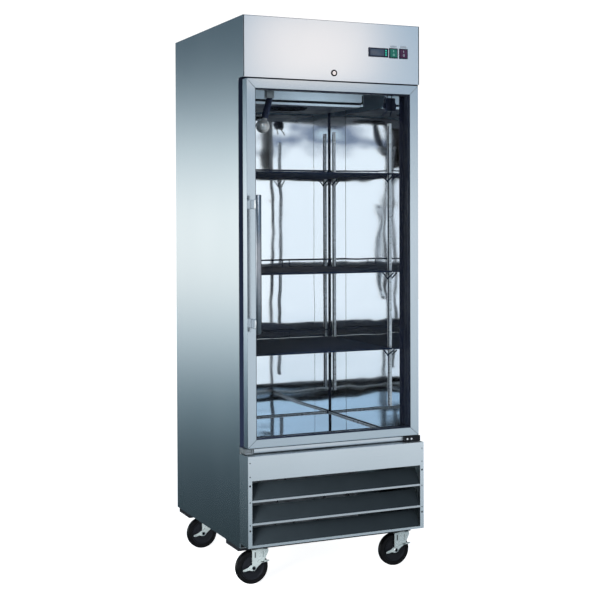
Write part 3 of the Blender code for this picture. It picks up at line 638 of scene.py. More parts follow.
def build_lights():
    add_area_light("key", (-3.2, -4.0, 3.6), (0, 0, 1.1), (2.4, 2.4), 40)
    add_area_light(
        "header_glow",
        (0.32, -1.27, 2.17),
        (0.0, -0.35, 2.03),
        (0.60, 0.36),
        0.62,
        (1.0, 0.68, 0.46),
    )
    fill = add_area_light("fill", (3.5, -4.5, 2.6), (0, 0, 1.0), (3.0, 2.0), 20)
    low_fill = add_area_light("low_fill", (-1.15, -0.95, 0.50), (-0.3, -0.35, 0.25), (0.4, 0.4), 20)
    inner_fill = add_area_light("inner_fill", (0.05, -0.24, 1.66), (0.0, -0.08, 1.86), (0.4, 0.08), 0.85)
    for light in (fill, low_fill, inner_fill):
        light.visible_glossy = False


# The door


def build_door_frame():
    """Four folded rails with mitred corners and a fine joint between them."""
    first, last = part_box("door_frame")
    glass_first, glass_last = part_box("door_glass")
    rebate = 0.0094
    inner_low = (glass_first.x + rebate, glass_first.z + rebate)
    inner_high = (glass_last.x - rebate, glass_last.z - rebate)
    joint, rounding = 0.00025, 0.0016
    bm = bmesh.new()
    outer = [(first.x, first.z), (last.x, first.z), (last.x, last.z), (first.x, last.z)]
    inner = [inner_low, (inner_high[0], inner_low[1]), inner_high, (inner_low[0], inner_high[1])]
    for i in range(4):
        j = (i + 1) % 4
        rail = [Vector(outer[i]), Vector(outer[j]), Vector(inner[j]), Vector(inner[i])]
        along = (rail[1] - rail[0]).normalized() * joint
        rail = [rail[0] + along, rail[1] - along, rail[2] - along, rail[3] + along]
        outline = [tuple(point) for point in rail]
        part = bmesh.new()
        if i == 2:
            add_notched_rail(part, outline, first.y, last.y)
        else:
            add_prism(part, outline, first.y, last.y, "Y")
        bmesh.ops.recalc_face_normals(part, faces=part.faces)
        bmesh.ops.bevel(
            part,
            geom=part.edges[:],
            offset=rounding / 2,
            segments=2,
            profile=0.5,
            affect="EDGES",
        )
        mesh = bpy.data.meshes.new("rail")
        part.to_mesh(mesh)
        part.free()
        bm.from_mesh(mesh)
        bpy.data.meshes.remove(mesh)
    put(
        "door_frame_rails",
        bm,
        STEEL_DOOR,
        body="door",
        node_name="door_frame",
        flat=True,
    )


def add_notched_rail(bm, outline, front, back):
    """The top rail in three layers, the middle one notched where the lock's cam turns down into it."""
    cam_back = high("lock_plug").y
    cam_front, room, depth = cam_back - 0.003, 0.0025, 0.014
    left, right, top = -0.009, 0.036, outline[0][1]
    notch = [(right, top), (right, top - depth), (left, top - depth), (left, top)]
    add_prism(bm, outline, front, cam_front - room, "Y")
    add_prism(bm, outline[:1] + notch + outline[1:], cam_front - room, cam_back + room, "Y")
    add_prism(bm, outline, cam_back + room, back, "Y")


def ring_outline(first, last, inset):
    return rectangle(first.x + inset, first.z + inset, last.x - inset, last.z - inset)


def build_glass():
    """Two panes with a black spacer round the edge between them."""
    first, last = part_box("door_glass")
    pane = 0.004
    for name, start in (("front", first.y), ("back", last.y - pane)):
        bm = bmesh.new()
        add_box(bm, (first.x, start, first.z), (last.x, start + pane, last.z), 0.0006, 1)
        piece = add_piece(f"glass_pane_{name}", finish_mesh("pane", bm), GLASS, "door")
        if name == "front":
            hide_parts("door_glass")
    spacer = plate_with_holes(
        "glass_spacer",
        ring_outline(first, last, 0.0005),
        [ring_outline(first, last, 0.0135)],
        first.y + pane + 0.0001,
        last.y - pane - 0.0001,
        "Y",
    )
    add_piece("glass_spacer", spacer, BLACK_PLASTIC, "door")


def build_gasket():
    """A bellows seal: a profile with two folds swept round the door."""
    first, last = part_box("door_gasket")
    width, depth = 0.018, last.y - first.y
    profile = [(0.0, 0.0), (width, 0.0), (width * 0.8, 0.3 * depth), (width, 0.55 * depth)]
    profile += [(width * 0.9, depth), (width * 0.1, depth), (0.0, 0.55 * depth), (width * 0.2, 0.3 * depth)]
    bm = bmesh.new()
    loops = []
    for inset, back in profile:
        corners = ring_outline(first, last, inset)
        loops.append([bm.verts.new((x, first.y + back, z)) for x, z in corners])
    for first_loop, second_loop in zip(loops, loops[1:] + loops[:1]):
        join_rings(bm, first_loop, second_loop, 4)
    put("door_seal_bellows", bm, SEAL_RUBBER, body="door", node_name="door_gasket")


def build_handle():
    first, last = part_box("handle_tube")
    radius = (last.x - first.x) / 2
    centre = ((first.x + last.x) / 2, (first.y + last.y) / 2, 0)
    cap = 0.003
    profile = [
        (0.0, last.z - 0.0005),
        (radius - 0.002, last.z),
        (radius - 0.0006, last.z - 0.0008),
        (radius, last.z - cap),
        (radius, first.z + cap),
        (radius - 0.0006, first.z + 0.0008),
        (radius - 0.002, first.z),
        (0.0, first.z + 0.0005),
    ]
    bm = bmesh.new()
    add_turned(bm, profile, centre, "Z", 40)
    put("handle_bar", bm, DARKENED_HANDLE_STEEL, body="door", node_name="handle_tube")
    for end in ("upper", "lower"):
        name = f"handle_post_{end}"
        post_low, post_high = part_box(name)
        bm = bmesh.new()
        add_box(bm, post_low, post_high, 0.0018, 3)
        put(f"{name}_block", bm, STEEL_BRIGHT, body="door", node_name=name, flat=True)


# The header


def build_controls():
    first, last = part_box("thermostat")
    front = first.y
    middle = (first.z + last.z) / 2
    bm = bmesh.new()
    add_box(
        bm,
        (first.x + 0.006, front - 0.0004, first.z + 0.005),
        (last.x - 0.018, front + 0.001, last.z - 0.005),
        0.0006,
    )
    put("display_window", bm, DISPLAY_LENS)
    bm = bmesh.new()
    for i in range(3):
        z = middle + (i - 1) * 0.0085
        add_box(
            bm,
            (last.x - 0.0135, front - 0.0007, z - 0.0026),
            (last.x - 0.0065, front + 0.001, z + 0.0026),
            0.0006,
        )
    put("display_buttons", bm, LED_GREEN)
    dress(BLACK_PLASTIC, "thermostat", "switch_housing")
    build_rocker_symbols()
    dress(GREEN_LENS, "light_switch_rocker")
    dress(RED_LENS, "power_switch_rocker")
    fascia = low("header_fascia").y
    for name in ("light", "power"):
        rocker_low, rocker_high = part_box(f"{name}_switch_rocker")
        bm = bmesh.new()
        top = high("switch_housing").z
        add_box(
            bm,
            (rocker_low.x + 0.001, fascia - 0.0006, top + 0.003),
            (rocker_high.x - 0.001, fascia - 0.0001, top + 0.010),
        )
        put(f"{name}_label_plate", bm, LABEL_GREY)


def build_rocker_symbols():
    """A bar and a ring on each rocker, the usual marks for on and off."""
    tilt = Matrix.Rotation(math.radians(-6), 4, "X")
    for name, material in (("light", SYMBOL_PALE), ("power", LABEL_GREY)):
        axis = joint_point(f"{name}_switch_rock")
        face = -0.0052
        bm = bmesh.new()
        add_box(bm, (-0.0012, face, 0.004), (0.0012, face + 0.001, 0.0115))
        ring = [(0.0042, 0.0), (0.0026, 0.0), (0.0026, 0.001), (0.0042, 0.001)]
        add_turned(bm, ring, (0.0, face, -0.0068), "Y", 20)
        bmesh.ops.transform(bm, matrix=Matrix.Translation(axis) @ tilt, verts=bm.verts)
        put(f"{name}_rocker_marks", bm, material, body=f"{name}_switch")


def build_lock():
    dress(BLACK_PAINT, "lock_body")
    dress(CHROME, "lock_plug")
    first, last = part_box("lock_body")
    x, z = (first.x + last.x) / 2, (first.z + last.z) / 2
    face = low("lock_plug").y
    # A dark bar on the plug's face: painted shade of the keyway.
    bm = bmesh.new()
    add_box(bm, (x - 0.0045, face - 0.0003, z - 0.0009), (x + 0.0045, face + 0.001, z + 0.0009))
    put("key_slot_shade", bm, BLACK_PLASTIC, body="lock_cylinder")


# The grille


def build_grille():
    dress(STEEL_ACROSS, "grille_frame")
    first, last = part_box("grille_frame")
    sheet = 0.0024
    bm = bmesh.new()
    add_box(
        bm,
        (first.x + sheet, first.y + sheet, last.z - sheet),
        (last.x - sheet, last.y - 0.001, last.z - 0.0004),
    )
    put("grille_top_flange", bm, STEEL_LIP)
    for name in ("upper", "middle", "lower"):
        build_louvre(name)
    build_grille_screws()


def build_louvre(name):
    """The folded blade: a pale steel lip at the front, and behind it the slope of the same sheet in dark
    slate as painted shade.
    """
    node_name = f"louvre_blade_{name}"
    first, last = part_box(node_name)
    sheet, rise = 0.002, 0.056
    top = last.z - rise
    slope = [
        (first.y + sheet, top - 0.0032),
        (first.y + sheet, top - 0.0008),
        (last.y, last.z),
        (last.y, last.z - 0.0024),
    ]
    bm = bmesh.new()
    add_prism(bm, slope, first.x, last.x, "X")
    put(f"louvre_slope_{name}", bm, SLATE_AND_SHADE, node_name=node_name)
    bm = bmesh.new()
    add_box(bm, (first.x, first.y, first.z), (last.x, first.y + sheet, top), 0.0006)
    put(f"louvre_lip_{name}", bm, STEEL_LIP, flat=True)


def screw_profile(radius, head):
    """A pan head with a recess, standing out along minus the axis."""
    return [
        (0.0, -head * 0.62),
        (radius * 0.30, -head * 0.66),
        (radius * 0.34, -head),
        (radius * 0.75, -head * 0.86),
        (radius, -head * 0.3),
        (radius, 0.0002),
        (0.0, 0.0002),
    ]


def build_grille_screws():
    first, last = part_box("grille_frame")
    inset = 0.008
    small = (0.483, 0.432, 0.338, 0.254)
    large = (0.399, 0.234)
    bm = bmesh.new()
    bolts = bmesh.new()
    for x in (first.x + inset, last.x - inset):
        for z in small:
            add_turned(bm, screw_profile(0.0024, FLUSH_HEAD), (x, first.y, z), "Y", 14)
        for z in large:
            add_turned(bolts, bolt_profile(0.0042, FLUSH_HEAD), (x, first.y, z), "Y", 6)
    put("grille_screws", bm, BLACK_PAINT)
    put("grille_bolts", bolts, BLACK_PAINT)


def bolt_profile(radius, head):
    return [(0.0, -head), (radius * 0.85, -head), (radius, -head * 0.6), (radius, 0.0002), (0.0, 0.0002)]


# Inside the food compartment


def build_shelves():
    for name in SHELVES:
        build_shelf(name)


def build_shelf(name):
    """Rim rods, stiffeners, many fine wires from front to back, and a low rail at the rear."""
    first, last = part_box(f"wire_shelf_{name}")
    thick, thin = 0.0034, 0.0019
    top = first.z + 0.007
    bm = bmesh.new()
    z_low = first.z + thick
    for y in (first.y + thick, last.y - thick):
        add_rod(bm, thick, (first.x, y, z_low), (last.x, y, z_low), 10)
    for x in (first.x + thick, last.x - thick):
        add_rod(bm, thick, (x, first.y, z_low), (x, last.y, z_low), 10)
    for share in (0.25, 0.5, 0.75):
        y = first.y + share * (last.y - first.y)
        add_rod(bm, thick * 0.8, (first.x, y, z_low - 0.0004), (last.x, y, z_low - 0.0004), 8)
    count = 56
    for i in range(1, count):
        x = first.x + i * (last.x - first.x) / count
        add_rod(bm, thin, (x, first.y + 0.001, top - thin), (x, last.y - 0.001, top - thin), 6)
    rail_y, rail_z = last.y - thick, last.z - 0.0025
    add_rod(bm, 0.0025, (first.x, rail_y, rail_z), (last.x, rail_y, rail_z), 10)
    for share in (-0.985, -0.33, 0.33, 0.985):
        x = share * last.x
        add_rod(bm, 0.002, (x, rail_y, z_low), (x, rail_y, rail_z), 8)
    put(f"shelf_wires_{name}", bm, WIRE_COAT, node_name=f"wire_shelf_{name}")
    build_clips(name, first.z)


def build_clips(name, under):
    """A folded wire clip in each pilaster holds the shelf."""
    bm = bmesh.new()
    drop, reach = 0.026, 0.045
    for side in ("left", "right"):
        for end in ("front", "rear"):
            first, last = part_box(f"pilaster_{side}_{end}")
            inner = last.x + 0.0028 if side == "left" else first.x - 0.0028
            y = (first.y + last.y) / 2
            points = [
                (inner, y - reach, under - 0.0022),
                (inner, y, under - drop),
                (inner, y + reach, under - 0.0022),
            ]
            for start, stop in zip(points, points[1:]):
                add_rod(bm, 0.0026, start, stop, 8)
            add_box(
                bm,
                (inner - 0.0014, y - 0.004, under - drop - 0.003),
                (inner + 0.0014, y + 0.004, under - drop + 0.003),
            )
    put(f"shelf_clips_{name}", bm, WIRE_COAT)


def build_pilasters():
    for side in ("left", "right"):
        for end in ("front", "rear"):
            build_pilaster(f"pilaster_{side}_{end}", side)


def build_pilaster(name, side):
    """A slotted standard: a hollow channel with a slot every half inch."""
    first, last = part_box(name)
    pitch, slot_height, slot_width = HALF_INCH, 0.0066, 0.0105
    middle = (first.y + last.y) / 2
    count = int((last.z - first.z - 0.01) / pitch)
    holes = []
    for i in range(count):
        z = first.z + 0.008 + i * pitch
        holes.append(rectangle(middle - slot_width / 2, z, middle + slot_width / 2, z + slot_height))
    sheet = 0.0012
    face = (last.x - sheet, last.x) if side == "left" else (first.x, first.x + sheet)
    mesh = plate_with_holes(name, rectangle(first.y, first.z, last.y, last.z), holes, *face, "X")
    bm = bmesh.new()
    bm.from_mesh(mesh)
    for y in (first.y, last.y - sheet):
        inner = (first.x, last.x - sheet) if side == "left" else (first.x + sheet, last.x)
        add_box(bm, (inner[0], y, first.z), (inner[1], y + sheet, last.z))
    put(f"{name}_standard", bm, PALE_ZINC, node_name=name)
    # A black slab just behind the face sheet: painted shade seen through the slots.
    back = bmesh.new()
    inside = face[0] - 0.0007 if side == "left" else face[1] + 0.0001
    deep = (inside, inside + 0.0006)
    add_box(back, (deep[0], first.y + 0.002, first.z), (deep[1], last.y - 0.002, last.z))
    put(f"{name}_shadow", back, BLACK_PLASTIC)


def build_liner_trim():
    """Joints and corner strips of the folded liner."""
    first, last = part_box("inner_liner")
    sheet = 0.001
    left, right = first.x + sheet, last.x - sheet
    back, floor, ceiling = last.y - sheet, first.z + sheet, last.z - sheet
    front = first.y
    # Dark strips in the back corners and along the floor edges, with pale beads beside them.
    bm = bmesh.new()
    size = 0.007
    for x, side in ((left, 1), (right, -1)):
        corner = [(x, back), (x + side * size, back), (x, back - size)]
        add_prism(bm, corner, floor, ceiling, "Z")
    put("liner_corner_dark_strips", bm, BLACK_PLASTIC)
    bm = bmesh.new()
    add_prism(bm, [(back, floor), (back - size, floor), (back, floor + size)], left, right, "X")
    for x, side in ((left, 1), (right, -1)):
        add_prism(bm, [(x, floor), (x + side * size, floor), (x, floor + size)], front + 0.01, back, "Y")
    put("liner_floor_trim", bm, BLACK_PLASTIC)
    bm = bmesh.new()
    bead, lift = 0.0026, 0.0030
    rear = back - size - bead
    add_rod(bm, bead, (left + 0.02, rear, floor + lift), (right - 0.02, rear, floor + lift), 10)
    for x in (left + size + bead, right - size - bead):
        add_rod(bm, bead, (x, front + 0.02, floor + lift), (x, rear, floor + lift), 10)
    put("liner_floor_beads", bm, PALE_ZINC)
    seam, thin = 0.0024, 0.0004
    bm = bmesh.new()
    seam_depth = back - 0.164
    for x in (left, right - thin):
        add_box(bm, (x, seam_depth, floor), (x + thin, seam_depth + seam, ceiling))
    put("liner_seams", bm, SLATE_AND_SHADE)


def build_lamp():
    """Slanted bulb in a dark holder, on a foot at the ceiling."""
    ceiling = high("interior_lamp").z
    joint = Vector(LAMP_JOINT)
    tilt = Matrix.Rotation(math.radians(15), 4, "Y")
    globe_radius, drop = 0.0268, 0.107
    arc = [math.radians(angle) for angle in range(62, -91, -8)]
    globe = [(globe_radius * math.cos(a), globe_radius * math.sin(a) - drop) for a in arc]
    globe[-1] = (0.0, -globe_radius - drop)
    bm = bmesh.new()
    add_turned(bm, [(0.0, -0.076), (0.0105, -0.076), *globe], joint, "Z", 32, tilt)
    put("bulb_globe", bm, BULB_GLASS, node_name="interior_lamp")
    holder = [
        (0.0, 0.009),
        (0.0105, 0.006),
        (0.0125, -0.004),
        (0.0128, -0.050),
        (0.0125, -0.0755),
        (0.0, -0.0755),
    ]
    bm = bmesh.new()
    add_turned(bm, holder, joint, "Z", 28, tilt)
    put("bulb_holder", bm, BLACK_PLASTIC)
    bm = bmesh.new()
    add_box(
        bm,
        (joint.x - 0.0155, joint.y - 0.0135, joint.z + 0.004),
        (joint.x + 0.0155, joint.y + 0.0135, ceiling),
        0.003,
    )
    put("lamp_foot", bm, GALVANISED)


def build_evaporator():
    """A folded cover: satin face, black drip lip, and an underside given near-black as painted shade, with
    the fan's throat and wire guard.
    """
    dress(BLACK_PLASTIC, "evaporator_fan_motor", "evaporator_fan_blade")
    first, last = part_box("evaporator_cover")
    sheet, lip, corner = 0.002, 0.009, 0.012
    face_low = first.z + 0.006 + lip
    bm = bmesh.new()
    add_box(bm, (first.x, first.y, face_low), (last.x, first.y + sheet, last.z), 0.0006)
    for x in (first.x, last.x - sheet):
        add_box(bm, (x, first.y + sheet, first.z + sheet), (x + sheet, last.y, last.z), 0.0006)
    add_box(
        bm,
        (first.x + sheet, last.y - sheet, first.z + sheet),
        (last.x - sheet, last.y, last.z),
        0.0006,
    )
    put("evaporator_face", bm, FACE_GREY, node_name="evaporator_cover", flat=True)

    bm = bmesh.new()
    add_box(
        bm,
        (first.x + corner, first.y - 0.002, face_low - lip),
        (last.x - corner, first.y + 0.004, face_low),
        0.002,
    )
    for x in (first.x + 0.002, last.x - 0.008):
        add_box(
            bm,
            (x, first.y - 0.002, face_low - 0.004),
            (x + 0.006, first.y + 0.004, last.z - 0.004),
            0.002,
        )
    for x, end in ((first.x + corner, first.x + 0.005), (last.x - corner, last.x - 0.005)):
        add_rod(
            bm,
            0.0034,
            (x, first.y + 0.001, face_low - lip / 2),
            (end, first.y + 0.001, face_low + 0.004),
            10,
        )
    put("evaporator_drip_lip", bm, BLACK_PAINT)

    turn_under = 0.035
    slope = [
        (first.y + 0.004, face_low - lip),
        (first.y + turn_under, first.z + 0.0002),
        (first.y + turn_under, first.z + 0.0018),
        (first.y + 0.004, face_low - lip + 0.0018),
    ]
    bm = bmesh.new()
    add_prism(bm, slope, first.x + sheet, last.x - sheet, "X")
    put("evaporator_turned_edge", bm, FACE_GREY)

    hub = joint_point("evaporator_fan_spin")
    turns = [math.radians(angle) for angle in range(0, 360, 8)]
    throat = [(hub.x + 0.088 * math.cos(a), hub.y + 0.088 * math.sin(a)) for a in turns]
    outline = rectangle(first.x + sheet, first.y + turn_under + 0.0005, last.x - sheet, last.y - sheet)
    # The underside is the same sheet as the face, given near-black as painted shade.
    under = plate_with_holes("evaporator_underside", outline, [throat], first.z, first.z + 0.0018, "Z")
    add_piece("evaporator_underside", under, UNDERSIDE_SHADE, "cabinet")
    build_fan_guard(hub, first.z)


def build_fan_guard(hub, under):
    """Wire rings on spokes below the evaporator's fan."""
    bm = bmesh.new()
    for radius in (0.020, 0.040, 0.060, 0.084):
        ring = [(radius + 0.0012 * math.cos(a), 0.0012 * math.sin(a)) for a in (0, 1.57, 3.14, 4.71)]
        add_turned(bm, ring, (hub.x, hub.y, under - 0.002), "Z", 36)
    for i in range(8):
        angle = i * math.pi / 4
        reach = Vector((math.cos(angle), math.sin(angle), 0))
        middle = Vector((hub.x, hub.y, under - 0.0015))
        add_rod(bm, 0.0012, middle + reach * 0.019, middle + reach * 0.092, 6)
    put("evaporator_fan_guard", bm, BLACK_PAINT)


def build_probe():
    """The temperature probe's clip and lead on the right wall, near the ceiling."""
    wall = high("inner_liner").x - 0.001
    y, z = low("inner_liner").y + 0.080, high("inner_liner").z - 0.052
    bm = bmesh.new()
    add_box(bm, (wall - 0.020, y - 0.014, z - 0.026), (wall - 0.0004, y + 0.014, z + 0.026), 0.003)
    add_box(bm, (wall - 0.028, y - 0.006, z - 0.016), (wall - 0.019, y + 0.006, z + 0.006), 0.002)
    add_rod(bm, 0.0026, (wall - 0.010, y, z - 0.024), (wall - 0.018, y + 0.030, z - 0.046), 8)
    add_rod(bm, 0.0020, (wall - 0.010, y, z + 0.024), (wall - 0.010, y, high("inner_liner").z - 0.0016), 8)
    put("temperature_probe", bm, BLACK_PLASTIC)


# Running gear


def build_casters():
    for name in CASTERS:
        build_wheel(name)
        build_fork(name)
        build_brake(name)
    dress(BLACK_PAINT, "cross_channel_front", "cross_channel_rear")


def build_wheel(name):
    """A rubber tyre on a dished black rim, with a bearing seal at the bore."""
    node_name = f"caster_wheel_{name}"
    centre = joint_point(f"roll_{name}")
    radius = (high(node_name).z - low(node_name).z) / 2
    half, bore = 0.015, 0.0066
    outer = [(radius - 0.0026, half - 0.0012), (radius - 0.0007, half - 0.004), (radius, half - 0.008)]
    tyre = [(0.047, half - 0.003), (0.0485, half - 0.0004), (0.056, half), *outer]
    tyre += [(r, -h) for r, h in reversed(tyre)]
    bm = bmesh.new()
    add_turned(bm, tyre, centre, "Y", 72)
    put(
        f"tyre_{name}",
        bm,
        TYRE_RUBBER,
        body=f"wheel_{name}",
        node_name=node_name,
        smooth_angle=50,
    )
    hub = [(bore, half + 0.001), (0.0125, half + 0.001), (0.0140, half - 0.001), (0.0165, half - 0.0015)]
    hub += [
        (0.020, half - 0.0055),
        (0.041, half - 0.0065),
        (0.0450, half - 0.0035),
        (0.0468, half - 0.0032),
    ]
    hub += [(r, -h) for r, h in reversed(hub)]
    bm = bmesh.new()
    add_turned(bm, hub, centre, "Y", 56)
    put(f"hub_{name}", bm, BLACK_PAINT, body=f"wheel_{name}", smooth_angle=30)


def leg_outline(swivel, axle):
    """One fork leg from the side: wide under the bridge, round at the axle."""
    top, boss = axle.z * 2 + 0.003, 0.012
    around = [math.radians(angle) for angle in range(200, 341, 20)]
    lower = [(axle.x + boss * math.cos(a), axle.z + boss * math.sin(a)) for a in around]
    rear, front = swivel.x - FORK_REAR, swivel.x + FORK_FRONT
    return [
        (rear, top),
        (rear, axle.z + 0.005),
        *lower,
        (front - 0.014, axle.z + 0.027),
        (front, top - 0.010),
        (front, top),
    ]


def bevelled_prism(bm, outline, start, end, axis, width):
    """A flat outline with its edges eased, added to a bmesh."""
    part = bmesh.new()
    add_prism(part, outline, start, end, axis)
    bmesh.ops.recalc_face_normals(part, faces=part.faces)
    sharp = [edge for edge in part.edges if edge.calc_face_angle(0) > 0.9]
    bmesh.ops.bevel(part, geom=sharp, offset=width, segments=2, profile=0.5, affect="EDGES")
    mesh = bpy.data.meshes.new("part")
    part.to_mesh(mesh)
    part.free()
    bm.from_mesh(mesh)
    bpy.data.meshes.remove(mesh)


def build_fork(name):
    swivel, axle = joint_point(f"swivel_{name}"), joint_point(f"roll_{name}")
    y, top = axle.y, axle.z * 2
    body = f"fork_{name}"
    bm = bmesh.new()
    for side in (-1, 1):
        edges = sorted((y + side * LEG_INNER, y + side * LEG_OUTER))
        bevelled_prism(bm, leg_outline(swivel, axle), *edges, "Y", 0.0005)
    bridge_low = (swivel.x - FORK_REAR, y - LEG_OUTER, top + 0.0015)
    bridge_high = (swivel.x + FORK_FRONT, y + LEG_OUTER, top + 0.0035)
    add_box(bm, bridge_low, bridge_high, 0.0009)
    ceiling = low("cross_channel_front").z - 0.0003
    race = [
        (0.0, top + 0.002),
        (0.0200, top + 0.002),
        (0.0215, top + 0.0040),
        (0.0215, ceiling - 0.0020),
        (0.0200, ceiling - 0.0006),
        (0.0200, ceiling),
        (0.0, ceiling),
    ]
    add_turned(bm, race, (swivel.x, y, 0.0), "Z", 40)
    put(
        f"fork_legs_{name}",
        bm,
        ZINC,
        body=body,
        node_name=f"caster_fork_{name}",
        smooth_angle=30,
        flat=True,
    )
    build_axle(name, axle, body)
    build_stampings(name, axle, body)


def build_axle(name, axle, body):
    """The axle bolt with a hexagon nut at each end."""
    reach = LEG_OUTER + 0.0065
    bm = bmesh.new()
    add_rod(bm, 0.0058, (axle.x, axle.y - reach, axle.z), (axle.x, axle.y + reach, axle.z), 20)
    for side in (-1, 1):
        nut = [(0.0, 0.0), (0.0074, 0.0), (0.0086, 0.0010), (0.0086, 0.0034), (0.0, 0.0034)]
        start = axle.y - reach if side < 0 else axle.y + reach - 0.0034
        add_turned(bm, nut, (axle.x, start, axle.z), "Y", 6)
    put(f"axle_bolt_{name}", bm, CHROME, body=body, smooth_angle=30)


def build_stampings(name, axle, body):
    """Dark boxes on the near leg, painted shade where a slot and a groove are pressed in."""
    face = axle.y - LEG_OUTER
    bars = [
        (0.0060, 0.0370, 0.0105, 0.0580),
        (0.0400, 0.0360, 0.0412, 0.0600),
    ]
    bm = bmesh.new()
    for x0, z0, x1, z1 in bars:
        add_box(bm, (axle.x + x0, face - 0.0002, axle.z + z0), (axle.x + x1, face + 0.0004, axle.z + z1))
    put(f"slot_shade_and_dark_screws_{name}", bm, SLOT_SHADE_AND_DARK_SCREWS, body=body)


def build_brake(name):
    """A two-ended pressed lever with a foot pad turned out at each end and a collar at the axle."""
    axle = joint_point(f"roll_{name}")
    x, z, ring = axle.x, axle.z, 0.0112
    near = axle.y - LEG_OUTER - 0.0003
    lever = [
        (x - 0.042, z - 0.010),
        (x - 0.042, z - 0.004),
        (x - 0.024, z + 0.002),
        (x - 0.009, z + ring),
        (x + 0.010, z + ring + 0.002),
        (x + 0.034, z + 0.024),
        (x + 0.062, z + 0.025),
        (x + 0.062, z + 0.019),
        (x + 0.036, z + 0.017),
        (x + 0.016, z + 0.004),
        (x + ring, z - 0.004),
        (x + 0.004, z - ring),
        (x - 0.007, z - ring + 0.001),
        (x - 0.016, z - 0.007),
        (x - 0.030, z - 0.010),
    ]
    bm = bmesh.new()
    bevelled_prism(bm, lever, near - 0.0024, near, "Y", 0.0004)
    add_box(bm, (x - 0.0420, near - 0.0095, z - 0.0062), (x - 0.0300, near - 0.0004, z - 0.0042), 0.0006)
    add_box(bm, (x + 0.0440, near - 0.0105, z + 0.0232), (x + 0.0618, near - 0.0004, z + 0.0254), 0.0006)
    collar = [(0.0066, 0.0), (0.0098, 0.0), (0.0104, 0.0006), (0.0104, 0.0020), (0.0066, 0.0020)]
    add_turned(bm, collar, (x, near - 0.0038, z), "Y", 28)
    put(
        f"brake_lever_{name}",
        bm,
        ZINC,
        body=f"brake_{name}",
        node_name=f"caster_brake_{name}",
        smooth_angle=30,
        flat=True,
    )
    # Two dark marks on the lever: painted shade in its bend and under the collar.
    bm = bmesh.new()
    add_box(bm, (x + 0.0300, near - 0.0028, z + 0.0185), (x + 0.0440, near - 0.0022, z + 0.0225), 0.0002)
    add_box(bm, (x - 0.0030, near - 0.0040, z - 0.0101), (x + 0.0030, near - 0.0036, z - 0.0090), 0.0001)
    put(f"brake_painted_shade_{name}", bm, SLOT_SHADE_AND_DARK_SCREWS, body=f"brake_{name}")


# The rest of the cabinet


def build_sill():
    """A rounded rail under the door, a slotted corner casting with dark strips painted as shade in its slots,
    and the hinge bracket's bolts.
    """
    first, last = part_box("sill_rail")
    casting_end = -0.331
    rail_low, rail_high, rail_front = first.z + 0.0028, last.z - 0.002, first.y + 0.007
    radius = 0.0032
    profile = []
    for centre_z, first_angle in ((rail_high - radius, 90), (rail_low + radius, 180)):
        arc = [math.radians(first_angle + turn) for turn in range(0, 91, 15)]
        profile += [(rail_front + radius * (1 + math.cos(a)), centre_z + radius * math.sin(a)) for a in arc]
    profile += [(last.y, rail_low), (last.y, rail_high)]
    bm = bmesh.new()
    add_prism(bm, profile, casting_end, last.x, "X")
    put("sill_round_rail", bm, STEEL_LIP, node_name="sill_rail", smooth_angle=40)
    bm = bmesh.new()
    add_box(bm, (first.x, first.y, first.z), (casting_end, last.y, last.z), 0.0035, 3)
    put("sill_corner_casting", bm, GALVANISED, flat=True)
    # Dark strips on the casting: painted shade in its slots.
    bm = bmesh.new()
    for x in (casting_end - 0.0040, casting_end - 0.0105):
        add_box(
            bm,
            (x - 0.001, first.y - 0.0002, first.z + 0.005),
            (x + 0.001, first.y + 0.001, last.z - 0.004),
        )
    add_box(
        bm,
        (first.x + 0.004, first.y - 0.0002, first.z + 0.0085),
        (casting_end - 0.014, first.y + 0.001, first.z + 0.0098),
    )
    put("sill_casting_slot_shade", bm, BLACK_PAINT)
    build_hinge_hardware()


def build_hinge_hardware():
    first = low("bottom_hinge_bracket")
    pin = joint_point("door_hinge")
    bm = bmesh.new()
    for x in (first.x + 0.012, first.x + 0.030):
        add_turned(bm, bolt_profile(0.0048, 0.0024), (x, first.y, first.z + 0.0105), "Y", 6)
    washer_z = low("door_frame").z
    ring = [(0.0042, -0.0030), (0.0095, -0.0030), (0.0095, -0.0010), (0.0042, -0.0010)]
    add_turned(bm, ring, (pin.x, pin.y, washer_z), "Z", 28)
    put("hinge_bolts", bm, CHROME, smooth_angle=30)


def build_header_gap_shade():
    """Dark strips at the header's ends and along its top: painted shade in the gaps where the folded sheets
    meet.
    """
    first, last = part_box("header_fascia")
    bm = bmesh.new()
    for x in (first.x + 0.0004, last.x - 0.0036):
        add_box(bm, (x, first.y - 0.0003, first.z + 0.001), (x + 0.0032, first.y + 0.0005, last.z - 0.001))
    add_box(
        bm,
        (first.x + 0.0004, first.y - 0.0003, last.z - 0.0022),
        (last.x - 0.0004, first.y + 0.0005, last.z - 0.0012),
    )
    put("header_gap_shade", bm, SLATE_AND_SHADE)


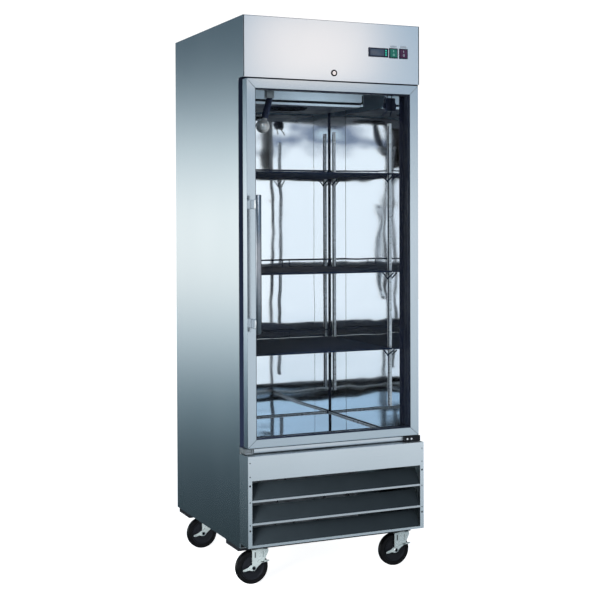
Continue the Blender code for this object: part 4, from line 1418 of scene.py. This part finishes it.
def build_back_details():
    """Rows of screws on the back panel, the vent guard and the top panel."""
    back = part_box("back_panel")[1]
    back_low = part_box("back_panel")[0]
    guard_low, guard_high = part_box("rear_vent_guard")
    edge = 0.012
    bm = bmesh.new()
    flip = Matrix.Rotation(math.pi, 4, "Z")
    rows = 8
    for i in range(rows + 1):
        z = back_low.z + edge + i * (back.z - back_low.z - 2 * edge) / rows
        for x in (back_low.x + edge, back.x - edge):
            add_turned(bm, screw_profile(0.0036, FLUSH_HEAD), (x, back.y, z), "Y", 14, flip)
    for x in (-0.25, 0.0, 0.25):
        for z in (guard_low.z + edge, guard_high.z - edge):
            add_turned(bm, screw_profile(0.0036, FLUSH_HEAD), (x, guard_high.y, z), "Y", 14, flip)
    put("back_screws", bm, SLOT_SHADE_AND_DARK_SCREWS)
    top_low, top_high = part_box("top_panel")
    bm = bmesh.new()
    for i in range(5):
        y = top_low.y + 0.03 + i * (top_high.y - top_low.y - 0.06) / 4
        for x in (top_low.x + edge, top_high.x - edge):
            add_turned(
                bm,
                [(0.0034, -0.0002), (0.0034, 0.00005), (0.0, 0.0001)],
                (x, y, top_high.z - 0.0001),
                "Z",
                14,
            )
    put("top_screws", bm, SLOT_SHADE_AND_DARK_SCREWS)


def dress_cabinet():
    dress(STEEL_SIDE, "side_panel_left", "side_panel_right", "back_panel", "top_panel")
    dress(STEEL_FRONT, "header_fascia")
    dress(STEEL_POLISHED, "inner_liner")
    dress(BLACK_PLASTIC, "breaker_strip", "door_inner_frame", "cord_gland")
    dress(BLACK_PAINT, "bottom_hinge_bracket", "top_hinge_bracket", "compressor", "condenser_fan_shroud")
    dress(GALVANISED, "base_pan", "rear_vent_guard")
    dress(FOAM, "insulation")
    dress(ALUMINIUM, "condenser_coil", "condenser_fan_blade")


build_stage()
dress_cabinet()
build_door_frame()
build_glass()
build_gasket()
build_handle()
build_controls()
build_lock()
build_grille()
build_pilasters()
build_shelves()
build_liner_trim()
build_lamp()
build_evaporator()
build_probe()
build_casters()
build_sill()
build_header_gap_shade()
build_back_details()
